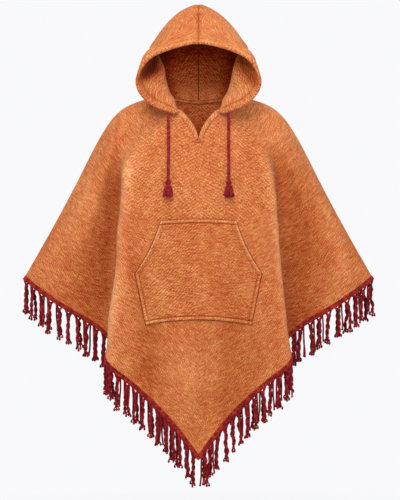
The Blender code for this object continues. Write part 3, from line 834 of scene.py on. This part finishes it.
def hood_relief(side, s, t):
    """Creases, the casing's stitch line and the centre seam, in millimetres out of the hood."""
    creases = [row[1:] for row in HOOD_CREASES if row[0] == side]
    total = crease_heights(s, t, creases, 0.0, (1.0, 0.0), (-0.2, 0.3, 0.7, 1.2))
    total *= smooth(s, 0.03, 0.12) * smooth(t, 0.0, 0.1)
    total += 0.5 * slow_waves(s * 400, t * 330, 3 + side, 80)
    stitch = HOOD_STATIONS[1]
    total -= 0.7 * bell(s - stitch, 0.006)
    total += bell(s - 0.12, 0.08) * bell(t - 0.72, 0.07)
    from_seam = seam_distance(s, t)
    total += 0.9 * bell(from_seam - 6, 4) - bell(from_seam, 2.2)
    return total


def make_hood_half(name, side):
    """Half of the hood, with its casing as a thicker wall along the face."""
    stitch = HOOD_STATIONS[1]
    marks = (0, stitch * 0.8, stitch * 1.3, *HOOD_STATIONS[2:5], 0.96, 1.0)
    columns = refine(marks, (8, 5, 26, 22, 22, 16, 10))
    rows = refine((0, 0.12, 0.25, 0.38, 0.5, 0.62, 0.75, 0.88, 0.96, 1.0), (10, 10, 10, 9, 9, 10, 12, 8, 9))

    def place(s, t):
        out = hood_out(s, t)
        points = off_hood(s, t, hood_relief(side, s, t))
        points[(s > 1 - 1e-9) | (t > 1 - 1e-9), 0] = 0.25
        from_seam = seam_distance(s, t)
        # Painted shade and light. Outside: painted shade in the seam, the stitch line and the creases' hollows,
        # painted light on
        # the casing and the top. Inside: a painted shadow crescent behind the casing on each side, painted
        # light on the fold under it, a painted shade line at the stitch, the back in painted shade at its sides
        # and top and painted light low down, and painted bounce light in the hood's depth.
        shade = 0.22 * bell(from_seam, 1.5) + 0.22 * bell(s - stitch, 0.0045)
        shade = shade - 0.14 * bell(s - stitch * 0.45, 0.014) - 0.07 * smooth(t, 0.62, 0.85)
        lobe = bell(s - 0.13 - 0.93 * (t - 0.55), 0.08) * (1 - smooth(t, 0.76, 0.92))
        lobe = lobe * (1.15 * smooth(t, 0.44, 0.57) if side < 0 else 0.75 * smooth(t, 0.36, 0.60))
        low_lobe = smooth(s, 0.06, 0.12) * (1 - smooth(s, 0.27, 0.33)) * (1 - smooth(t, 0.36, 0.48))
        frame_dark = 0.75 * smooth(s, 0.32, 0.45) * (1 - smooth(s, 0.70, 0.85)) + 0.90 * smooth(t, 0.36, 0.60)
        low_back = smooth(s, 0.5, 0.7) * (1 - smooth(t, 0.10, 0.36))
        inside = lobe - 0.13 * low_lobe + frame_dark * smooth(s, 0.28, 0.45) - 0.34 * low_back
        inside = inside + 0.2 * bell(s - stitch * 1.15, 0.006)
        shades = shade - 0.03 * hood_relief(side, s, t), np.ones(len(s)), inside, smooth(s, 0.34, 0.6)
        return points * (side, 1, 1), out * (side, 1, 1), *shades

    def walls(s, t):
        share = np.clip(1 - abs(s / stitch - 0.45) / 0.55, 0, 1)
        return np.where(s < stitch, 3.4 + 5.2 * np.sqrt(share) * smooth(t, -0.02, 0.1), 3.0)

    return cloth_grid(name, columns, rows, place, wool(), 8.6, walls, wool(True))


def seam_yarn(name, points, radius, material):
    return yarn_curve(name, [[(point, radius) for point in points]], material)


class PONCHO_OT_hood(bpy.types.Operator):
    """Both halves of the hood, with the casing, and the seams on its inside"""

    bl_idname = "poncho.hood"
    bl_label = "Hood"

    def execute(self, context):
        for label, side in SIDES:
            take(make_hood_half("hood_half_" + label, side), "hood_" + label, slot="wool")
        # The seam inside the centre of the hood: a tube for its allowance, dark as painted shade along the
        # seam.
        t = np.linspace(0.01, 1, 60)
        s = np.ones_like(t)
        up_back = off_hood(s, t, -2.6)
        s = np.linspace(0.98, 0.06, 50)
        t = np.ones_like(s)
        over_top = off_hood(s, t, -2.6)
        centre = np.vstack([up_back, over_top[3:]]) * (0, 1, 1)
        take(seam_yarn("hood_centre_seam", centre, 1.3, yarn("seam_shadow_and_tack_wool")), slot="wool")
        # The roll over the neck seam inside is pale: painted light along it.
        u = np.concatenate([np.linspace(-U_SLIT * 1.15, -1, 90), np.linspace(1, U_SLIT * 1.15, 90)[1:]])
        neck = body_points(u, np.full_like(u, 0.004))
        _, down, out = frame_of(body_points, u, np.full_like(u, 0.01))
        take(seam_yarn("neck_seam", neck - out * 3.8, 3.2, yarn("seam_roll_painted_light")), slot="wool")
        return {"FINISHED"}


def pocket_outline(a, b):
    """x and z of the pocket at a, from -1 to 1 across it, and b, from 0 at its top to 1 at its foot."""
    upper = np.clip(b / POCKET_TURN, 0, 1)
    lower = np.clip((b - POCKET_TURN) / (1 - POCKET_TURN), 0, 1)
    half = POCKET_TOP[0] + (POCKET_SIDE[0] - POCKET_TOP[0]) * upper
    half = half - POCKET_MOUTH_HOLLOW * np.sin(math.pi * upper)
    half = half + (POCKET_FOOT[0] - POCKET_SIDE[0]) * lower
    bow = (1 - a**2) * (POCKET_TOP_RISE + (POCKET_FOOT_RISE - POCKET_TOP_RISE) * b)
    return a * half, POCKET_TOP[1] - POCKET_TALL * b + bow


def pocket_edges(a, b):
    """How far a point of the pocket is from its top, its foot and its nearer side, in millimetres."""
    x, z = pocket_outline(a, b)
    edge, _ = pocket_outline(np.sign(a) + (a == 0), b)
    return b * POCKET_TALL, (1 - b) * POCKET_TALL, abs(edge - x)


def pocket_place(a, b, lift=0.0):
    """Points of the pocket on the creased front, with its hems, mouths and stitch lines."""
    top, foot, side = pocket_edges(a, b)
    mouth = 1 - smooth(b, POCKET_TURN - 0.05, POCKET_TURN + 0.05)
    below = 1 - mouth
    height = 4.6 + 0.5 * slow_waves(*pocket_outline(a, b), 12, 60)
    # Painted shade and light: a little darker and uneven all over, painted shadow under the hems and in the
    # stitch lines, painted highlight on the hem beads and the mouths' edges, and painted shade at the lower
    # right.
    shade = 0.02 + 0.045 * slow_waves(*pocket_outline(a, b), 4, 90)
    for gap in (top, foot):
        height = height + 1.9 * bell(gap - POCKET_HEM * 0.42, POCKET_HEM * 0.36)
        height = height - 1.8 * bell(gap - POCKET_HEM, 2.0)
        shade = shade + 0.55 * bell(gap - POCKET_HEM - 0.3, 1.8)
        shade = shade - 0.16 * bell(gap - POCKET_HEM * 0.42, POCKET_HEM * 0.30)
    height = height + mouth * (2.2 * bell(side, 5) - 0.7 * bell(side - 14, 2.2))
    height = height + below * (0.9 * bell(side - 5, 4) - 1.4 * bell(side - 11, 2.0))
    shade = shade - 0.30 * mouth * bell(side - 1, 3.4) + 0.04 * mouth * bell(side - 13, 2)
    shade = shade + below * 0.30 * bell(side - 9, 1.8) - 0.1 * below * bell(side - 4, 3)
    shade = shade + 0.10 * bell(a - 0.75, 0.35) * bell(b - 0.85, 0.4)
    points, out = off_cloth(*find_on_front(*pocket_outline(a, b)), height + lift)
    return points, out, shade, 0.5 * smooth(a, -0.1, 0.1)


def pocket_rim():
    """Points round the pocket on the front's cloth, just outside its edge."""
    down, over, ones = np.linspace(0, 1, 90), np.linspace(-1, 1, 90), np.ones(90)
    x, z = zip(
        pocket_outline(-ones, down),
        pocket_outline(over, ones),
        pocket_outline(ones, down[::-1]),
        pocket_outline(over[::-1], 0 * ones),
    )
    x, z = np.concatenate(x), np.concatenate(z)
    grown = 1 + 1.2 / np.hypot(x, z + POCKET_TALL * 1.6)
    x, z = x * grown, (z - POCKET_MIDDLE_Z) * grown + POCKET_MIDDLE_Z
    return off_cloth(*find_on_front(x, z), 2.2)[0]


class PONCHO_OT_pocket(bpy.types.Operator):
    """The pouch pocket"""

    bl_idname = "poncho.pocket"
    bl_label = "Pocket"

    def execute(self, context):
        hem = 16 / POCKET_TALL
        rows = refine((0, hem, 0.5, 0.56, 1 - hem, 1), (12, 24, 8, 24, 12))
        edge = 1 - 18 / 150
        columns = refine((-1, -edge, edge, 1), (12, 60, 12))
        piece = cloth_grid("pouch_pocket", columns, rows, pocket_place, wool(), 2.6)
        take(piece, "pocket", slot="wool")
        # A dark tube just outside the pocket's edge: painted shadow where the pocket stands off the front.
        take(seam_yarn("pocket_seam_shadow", pocket_rim(), 1.15, yarn("seam_shadow_and_tack_wool")), slot="wool")
        return {"FINISHED"}


def way_off(along, out, down):
    """The way square to an edge, in the cloth and on the side of the ways down."""
    away = unit(np.cross(along, out))
    return np.where((away * down).sum(axis=-1)[:, None] < 0, -away, away)


def slit_edge(u):
    """Points along the neck slit's edge, the way off it over the cloth and the way out of the cloth."""
    edge = cloth_points(u, np.zeros_like(u))
    _, down, out = frame_of(body_points, u, np.zeros_like(u))
    along = unit(body_points(u + 0.003, np.zeros_like(u)) - body_points(u - 0.003, np.zeros_like(u)))
    return edge, way_off(along, out, down), out


# The turned edge of the slit, across it. Columns: way over the cloth, way out of it.
SLIT_TURN = ((6, -3.4), (2, -3.8), (-1.8, -2.6), (-3.0, 0.2), (-1.6, 3.0), (2, 4.6), (7, 4.4), (11, 3.4))
SLIT_TURN += ((12.6, 2.0),)


class PONCHO_OT_slit(bpy.types.Operator):
    """The turned edges of the neck slit"""

    bl_idname = "poncho.slit"
    bl_label = "Neck slit"

    def execute(self, context):
        turn = np.array(SLIT_TURN, float)
        knots = np.linspace(0, 1, len(turn))
        for label, side in SIDES:

            def place(u, w):
                edge, away, out = slit_edge(u * side)
                over, off = (spline_weights(knots, w) @ turn).T
                share = u / U_SLIT
                laid = np.interp(share, (0, 0.35, 1), (0.5, 0.75, 0.8))
                over = over * np.where(over > 0, laid, share**0.5 * 0.8)
                off = off * np.interp(share, (0, 0.85, 1.03), (0.8, 1.0, 0.7))
                points = edge + away * over[:, None] + out * off[:, None]
                # The turned edge is a little lighter: painted light on its roll.
                return points, out + away * 0.2, np.full(len(u), -0.12)

            columns = np.linspace(0.004, U_SLIT * 1.03, 46)
            piece = cloth_grid("slit_edge_" + label, columns, np.linspace(0, 1, 22), place, wool(), 1.6)
            take(piece, "slit_facing_" + label, slot="wool")
        return {"FINISHED"}


def hem_line(side, front):
    """Places along a quarter of the hem: lengths, points, ways down off it and out of it, and mitre.

    The mitre is how much longer the way off is at the point of the hem.
    """
    half = half_columns(front)
    u = side * (half if front else half[::-1])
    points = cloth_points(u, np.ones_like(u))
    safe = side * np.clip(abs(u), 0.002, 0.998)
    step = 0.004 * side * (1 if front else -1)
    along = unit(cloth_points(safe + step, np.ones_like(u)) - cloth_points(safe - step, np.ones_like(u)))
    _, down, out = frame_of(body_points, safe, np.ones_like(u))
    away = way_off(along, out, down)
    mitre = np.ones(len(u))
    mitre[0] = 1 / math.sqrt(1 - along[0][2] ** 2)
    away[0] = (0, 0, -1)
    out[0, 0] = 0
    lengths = lengths_along(points)
    at = np.linspace(0, lengths[-1], HEM_POINTS)
    away, out = (unit(read_at(at, lengths, ways)) for ways in (away, out))
    return at, read_at(at, lengths, points), away, out, np.interp(at, lengths, mitre)


# The red edge across the hem. Columns: way down off the cloth's edge, way out of the cloth.
EDGE_TURN = ((-1.5, 1.3), (0, 2.7), (3, 3.0), (5.5, 2.2), (8, 2.9), (10, 1.0))
EDGE_TURN += tuple((down, -out) for down, out in EDGE_TURN[::-1])


class PONCHO_OT_edge(bpy.types.Operator):
    """The red edging that binds the hem"""

    bl_idname = "poncho.edge"
    bl_label = "Red edging"

    def execute(self, context):
        turn = np.array(EDGE_TURN, float)
        knots = np.linspace(0, 1, len(turn))
        columns, rows = np.arange(HEM_POINTS), np.linspace(0, 1, 22)
        for quarter, front, side in QUARTERS:
            at, line, away, out, mitre = hem_line(side, front)

            def place(i, w):
                k = i.astype(int)
                over, off = (spline_weights(knots, w) @ turn).T
                twist = np.sin(at[k] * 2 * math.pi / 8.0 + w * 12)
                over = over * mitre[k]
                points = line[k] + away[k] * over[:, None] + out[k] * (off * (1 + 0.2 * twist))[:, None]
                return points, out[k] * np.sign(off)[:, None] + away[k] * 0.1

            piece = cloth_grid("edging_" + quarter, columns, rows, place, yarn("red_wool_edging"), 1.0)
            take(piece, "trim_" + quarter, slot="trim")
        return {"FINISHED"}


def twisted(points, off, radius, turns, phase, plies=2):
    """Plies wound round a line of points: each is a list of (point, radius)."""
    made = []
    for ply in range(plies):
        angle = phase + 2 * math.pi * (ply / plies + turns * np.linspace(0, 1, len(points)))
        ring = np.stack([np.cos(angle), np.sin(angle), np.zeros_like(angle)], axis=1)
        made.append([(point, radius) for point in points + ring * off])
    return made


# The knot under a bunch's two legs. Columns: height over its middle, radius.
FRINGE_KNOT = ((4.0, 3.2), (1, 5.0), (-3, 4.8), (-7, 3.4))


def fringe_bunch(root_left, root_right, out, length, chance):
    """One knotted bunch: two legs meet in a knot, hang down as twisted yarn and part in knotted ends."""
    middle = (root_left + root_right) / 2
    knot = middle + np.array([chance.uniform(-1, 1), 0, -chance.uniform(10.5, 12.5)])
    sway = np.array([chance.uniform(-7, 7), chance.uniform(-3, 3), 0.0])
    tail = length - chance.uniform(11, 17)
    strands = []
    for root in (root_left, root_right):
        bow = (root - middle) * 0.6
        bent = middle + bow - (0, 0, 5.5)
        strands.append([(root + (0, 0, 3.0), 2.9), (bent, 2.5), (knot + bow * 0.2, 2.8)])
    strands.append([(knot + (0, 0, rise), radius) for rise, radius in FRINGE_KNOT])
    levels = np.linspace(0, 1, 14)[:, None]
    bend = np.sin(levels * math.pi * chance.choice((1, 2, 3))) * sway * 0.42
    line = knot + levels * (sway + (0, 0, -(tail - 12.0))) + bend
    strands += twisted(line, 2.5, 2.9, chance.uniform(1.2, 2.0), chance.uniform(0, 6))
    foot = line[-1]
    tips = chance.choice((2, 3, 3))
    for k in range(tips):
        part = (k - (tips - 1) / 2) * chance.uniform(5.0, 6.6)
        drop = length - tail + chance.uniform(-5, 3)
        end = foot + np.array([part, chance.uniform(-3, 3), -drop])
        mid = foot + np.array([part * 0.5, 0, -drop * 0.5])
        strands.append([(foot + (part * 0.2, 0, 2.0), 2.6), (mid, 2.2), (end + (0, 0, 4.0), 2.1)])
        strands[-1] += [(end + (0, 0, 1.0), 3.3), (end - (0, 0, 2.0), 2.9), (end - (0, 0, 3.6), 1.2)]
    if chance.random() < 0.6:
        aside = chance.choice((-1, 1)) * chance.uniform(7, 10)
        start = (root_left if aside < 0 else root_right) + (0, 0, 2.0) - out * 1.5
        low = length - chance.uniform(4, 18)
        reach = np.linspace(0, 1, 8)[:, None]
        wave = np.sin(reach * 7 + chance.uniform(0, 6)) * np.array([1.3, 1.0, 0.0])
        line = start + reach * np.array([aside * 0.35, 3.0, -low]) + wave * reach
        strands.append([(point, 2.4) for point in line])
        strands[-1] += [(line[-1] - (0, 0, 2.5), 3.2), (line[-1] - (0, 0, 5), 1.2)]
    return strands


class PONCHO_OT_fringe(bpy.types.Operator):
    """The knotted fringe along the hem"""

    bl_idname = "poncho.fringe"
    bl_label = "Fringe"

    def execute(self, context):
        prefs = poncho()
        chance = random.Random(41)
        made = {True: [], False: []}
        for quarter, front, side in QUARTERS:
            at, line, away, out, mitre = hem_line(side, front)
            foot = line + away * (FRINGE_DROP * mitre)[:, None]
            pitch = at[-1] / prefs.bunches
            strands = []
            for n in range(prefs.bunches):
                centre = (n + 0.5) * pitch + chance.uniform(-2, 2)
                ends = read_at(centre + np.array([-0.33, 0.33]) * pitch, at, foot)
                k = int(np.searchsorted(at, centre).clip(0, HEM_POINTS - 1))
                drop = prefs.fringe_length / MM + chance.uniform(-4, 4)
                strands += fringe_bunch(*ends, out[k], drop, chance)
            piece = yarn_curve("fringe_" + quarter, strands, yarn("twisted_wool_yarn"))
            take(piece, slot="burgundy")
            made[front].append(piece)
        return {"FINISHED"}


def hang_on_front(levels, lifts):
    """Points over the front where the right drawcord hangs, at those heights and lifted off the cloth."""
    u, v = find_on_front(np.full(levels.shape, CORD_X), levels)
    _, _, out = frame_of(body_points, u, v)
    return body_points(u, v) + out * (CAD_HALF_CLOTH + lifts)[:, None]


def cord_route():
    """The right drawcord's route, as in the CAD."""
    levels = np.linspace(-72, CORD_END_Z, 6)
    lifts = np.linspace(CORD_CLEAR + 3.5, TASSEL_LIFT, 6)
    start = np.array(CORD_EXIT)
    points = np.vstack([start, start + (0.3, -1.0, -14.0), hang_on_front(levels, lifts)])
    knots = lengths_along(points)
    return spline_weights(knots, np.linspace(0, knots[-1], 90)) @ points


def tube(name, route, radius_of, sides, material):
    """A closed tube along a route: radius_of(share along it, angle) gives its surface."""
    bm, i, j = new_grid(len(route), sides + 1)
    ahead = unit(np.gradient(route, axis=0))
    first = unit(np.cross(ahead, (0.0, 1.0, 0.0)))
    second = np.cross(ahead, first)
    angle = 2 * math.pi * j / sides
    ring = first[i] * np.cos(angle)[:, None] + second[i] * np.sin(angle)[:, None]
    points = route[i] + ring * radius_of(i / (len(route) - 1), angle)[:, None]
    for vert, point in zip(bm.verts, points):
        vert.co = point * MM
    bmesh.ops.remove_doubles(bm, verts=bm.verts, dist=1e-6)
    bmesh.ops.holes_fill(bm, edges=bm.edges)
    bmesh.ops.recalc_face_normals(bm, faces=bm.faces)
    for face in bm.faces:
        face.smooth = len(face.verts) == 4
    return from_bmesh(name, bm, material)


# A tassel's head from the cord's end down. Columns: drop, radius.
TASSEL_HEAD = ((0, 2.6), (1.5, 5.6), (4, 7.5), (7.5, 7.6), (10, 5.8), (11.5, 5.0), (13, 5.6))
TASSEL_HEAD += ((16, 7.2), (20, 7.8))


class PONCHO_OT_drawcords(bpy.types.Operator):
    """The drawcord's two free ends and their tassels"""

    bl_idname = "poncho.drawcords"
    bl_label = "Drawcords"

    def execute(self, context):
        chance = random.Random(7)
        head = np.array(TASSEL_HEAD, float)
        for label, side in SIDES:
            route = cord_route() * (side, 1, 1)
            length = float(lengths_along(route)[-1])
            turns = length / CORD_TWIST

            def ply(share, angle):
                return 3.8 + 0.36 * np.cos(2 * (angle + side * share * turns * math.pi))

            cord = tube("cord_" + label, route, ply, 12, yarn("twisted_cotton_cord"))
            drops = np.linspace(0, 20, TASSEL_HEAD_POINTS)
            axis = hang_on_front(CORD_END_Z - drops, np.full_like(drops, TASSEL_LIFT)) * (side, 1, 1)
            radii = np.interp(drops, head[:, 0], head[:, 1])

            def wound(share, angle):
                k = share * (TASSEL_HEAD_POINTS - 1)
                thread, strand = 0.35 * np.cos(k * 2.4 + angle), 0.25 * np.cos(5 * angle + k * 0.4)
                ridge = np.where((k > 8) & (k < 15), thread, strand)
                return np.interp(k, range(TASSEL_HEAD_POINTS), radii) + ridge

            knot = tube("tassel_head_" + label, axis, wound, 20, yarn("twisted_cotton_cord"))
            strands = []
            for ring, count, spread in ((0, 7, 2.6), (1, 10, 4.4), (2, 13, 5.7)):
                for n in range(count):
                    angle = 2 * math.pi * (n + chance.uniform(-0.3, 0.3)) / count + ring
                    way = np.array([math.cos(angle), math.sin(angle) * 0.7, 0.0])
                    low = 44 + chance.uniform(-3.5, 2.5)
                    levels = np.array([15.0, 24.0, 34.0, low])
                    line = hang_on_front(CORD_END_Z - levels, np.full(4, TASSEL_LIFT)) * (side, 1, 1)
                    flare = np.array([1.15, 1.7, 2.05, 2.3 + chance.uniform(-0.1, 0.15)]) * spread
                    strands.append([(p + way * f, 1.8) for p, f in zip(line, flare)])
            skirt = yarn_curve("tassel_skirt_" + label, strands, yarn("twisted_cotton_cord"), 0)
            take(cord, "drawcord_" + label, slot="burgundy")
            take(knot, "tassel_" + label, slot="burgundy")
            take(skirt, slot="burgundy")
        return {"FINISHED"}


def stitches(lines, pitch=6.5, run=4.4, radius=0.75):
    """Short sewn stitches along lines of points that lie on the cloth."""
    made = []
    for line in lines:
        lengths = lengths_along(line)
        for start in np.arange(1.0, lengths[-1] - run, pitch):
            places = read_at(start + run * np.array([0, 0.5, 1]), lengths, line)
            made.append(list(zip(places, (radius * 0.6, radius, radius * 0.6))))
    return made


class PONCHO_OT_stitching(bpy.types.Operator):
    """Topstitching of the casing, the pocket and its hems, and the slit, with the slit's bar tack"""

    bl_idname = "poncho.stitching"
    bl_label = "Stitching"

    def execute(self, context):
        lines = []
        stitch = HOOD_STATIONS[1]
        for side in (-1, 1):
            t = np.linspace(0.02, 0.995, 160)
            s = np.full_like(t, stitch)
            for way in (1, -1):
                lines.append(off_hood(s, t, hood_relief(side, s, t) + way * 1.7) * (side, 1, 1))
            mouth = 0.06, POCKET_TURN - 0.01, POCKET_MOUTH_STITCH
            below = POCKET_TURN + 0.01, 0.95, POCKET_SIDE_STITCH
            for low, high, inset in (mouth, below):
                b = np.linspace(low, high, 60)
                half, _ = pocket_outline(np.ones_like(b), b)
                lines.append(pocket_place(side * (1 - inset / half), b, 1.6)[0])
            u = side * np.linspace(0.02, U_SLIT * 0.98, 50)
            edge, away, out = slit_edge(u)
            wide = np.interp(abs(u), (0, U_SLIT * 0.35, U_SLIT), (8.0, 12.0, 13.0))
            lines.append(edge + away * wide[:, None] + out * 1.7)
        for gap in (POCKET_HEM, POCKET_TALL - POCKET_HEM):
            a = np.linspace(-0.97, 0.97, 90)
            lines.append(pocket_place(a, np.full_like(a, gap / POCKET_TALL), 1.5)[0])
        x = np.linspace(-11, 11, 12) + 0.01
        tack, _ = off_cloth(*find_on_front(x, np.full_like(x, -109.0)), 1.9)
        take(seam_yarn("bar_tack", tack, 1.3, yarn("seam_shadow_and_tack_wool")), slot="wool")
        piece = yarn_curve("topstitching", stitches(lines), yarn("sewing_thread"), 0)
        take(piece, slot="wool")
        return {"FINISHED"}


# Light of the sky on the garment, and how bright the backdrop looks to the camera
SKY_LIGHT = 0.40
BACKDROP = 0.96

# The floor just under the fringe, and a camera so far off that the view is almost flat, in metres but
# for its sensor, which is in millimetres. The middle of the view is at the front of the garment.
FLOOR_Z = -1.084
SENSOR = 36.0
CAMERA_AWAY = 20.0
VIEW_HIGH = 1.35
VIEW_MIDDLE = (0.004, -0.1, -0.4)

# Soft boxes, and what they are aimed at. Columns: name, place and size in metres, power in watts.
LAMP_AIM = (0.0, 0.0, -0.35)
LAMPS = (
    ("key", (-1.1, -4.4, 3.2), 2.2, 150.0),
    ("fill", (2.2, -4.8, 1.0), 3.0, 50.0),
    ("top", (0.0, -1.0, 3.0), 2.0, 52.0),
)


def studio_paper(name):
    """White paper: it takes soft shadows near the garment and goes over into the backdrop away from it."""
    made, tree, shader = new_material(name)
    fill(tree, shader, Base_Color=linear("#F4F4F5"), Roughness=0.9)
    place = add(tree, "ShaderNodeTexCoord").outputs["Object"]
    away = add(tree, "ShaderNodeVectorMath", {"operation": "LENGTH"}, i0=place).outputs["Value"]
    # The backdrop's share is 0.84 in the middle of the neck, and grows to 1 at 1.6 m from there.
    reach = {"i0": away, "i1": 0.0, "i2": 1.6, "i3": 0.84}
    far = add(tree, "ShaderNodeMapRange", {"interpolation_type": "SMOOTHSTEP"}, **reach).outputs["Result"]
    glow = add(tree, "ShaderNodeEmission", Color=linear("#FDFDFF"), Strength=BACKDROP).outputs["Emission"]
    mixed = add(tree, "ShaderNodeMixShader", i0=far, i1=shader.outputs["BSDF"], i2=glow)
    fill(tree, tree.nodes["Material Output"], Surface=mixed.outputs["Shader"])
    return made


class PONCHO_OT_stage(bpy.types.Operator):
    """Pale floor, soft studio light and the camera"""

    bl_idname = "poncho.stage"
    bl_label = "Stage"

    def execute(self, context):
        scene = context.scene
        bm = bmesh.new()
        bmesh.ops.create_grid(bm, x_segments=1, y_segments=1, size=14.0)
        for vert in bm.verts:
            vert.co.z = FLOOR_Z
        from_bmesh("studio_floor", bm, studio_paper("white_paper"))
        world = bpy.data.worlds.new("studio")
        world.use_nodes = True
        tree = world.node_tree
        seen = add(tree, "ShaderNodeLightPath").outputs["Is Camera Ray"]
        strength = weighted(tree, (seen, BACKDROP - SKY_LIGHT), (1.0, SKY_LIGHT))
        fill(tree, tree.nodes["Background"], Color=linear("#FDFDFF"), Strength=strength)
        scene.world = world
        for name, place, size, watts in LAMPS:
            lamp = bpy.data.lights.new(name, "AREA")
            lamp.energy = watts
            lamp.size = size
            item = bpy.data.objects.new(name, lamp)
            item.location = place
            aim = np.array(LAMP_AIM) - np.array(place)
            item.rotation_euler = (
                math.atan2(math.hypot(aim[0], aim[1]), -aim[2]),
                0.0,
                math.atan2(aim[1], aim[0]) - math.pi / 2,
            )
            scene.collection.objects.link(item)
        lens = bpy.data.cameras.new("camera")
        lens.sensor_width = SENSOR
        lens.lens = SENSOR * CAMERA_AWAY / VIEW_HIGH
        lens.clip_end = 60.0
        camera = bpy.data.objects.new("camera", lens)
        camera.location = (VIEW_MIDDLE[0], VIEW_MIDDLE[1] - CAMERA_AWAY, VIEW_MIDDLE[2])
        camera.rotation_euler = (math.pi / 2, 0.0, 0.0)
        scene.collection.objects.link(camera)
        scene.camera = camera
        scene.view_settings.view_transform = "Standard"
        return {"FINISHED"}


class PONCHO_PT_panel(bpy.types.Panel):
    """Lists the poncho's sizes and colours, and its pieces"""

    bl_label = "Poncho"
    bl_idname = "PONCHO_PT_panel"
    bl_space_type = "VIEW_3D"
    bl_region_type = "UI"
    bl_category = "Poncho"

    def draw(self, context):
        for name in PonchoSettings.__annotations__:
            self.layout.prop(context.scene.poncho, name)
        for operator in OPERATORS:
            self.layout.operator(operator.bl_idname)


OPERATORS = (
    PONCHO_OT_stage,
    PONCHO_OT_panels,
    PONCHO_OT_hood,
    PONCHO_OT_pocket,
    PONCHO_OT_slit,
    PONCHO_OT_edge,
    PONCHO_OT_fringe,
    PONCHO_OT_drawcords,
    PONCHO_OT_stitching,
)
CLASSES = (PonchoSettings, *OPERATORS, PONCHO_PT_panel)


def register():
    for item in CLASSES:
        bpy.utils.register_class(item)
    bpy.types.Scene.poncho = PointerProperty(type=PonchoSettings)


def unregister():
    del bpy.types.Scene.poncho
    for item in reversed(CLASSES):
        bpy.utils.unregister_class(item)


def main():
    register()
    for operator in OPERATORS:
        group, name = operator.bl_idname.split(".")
        getattr(getattr(bpy.ops, group), name)()


if __name__ == "__main__":
    main()
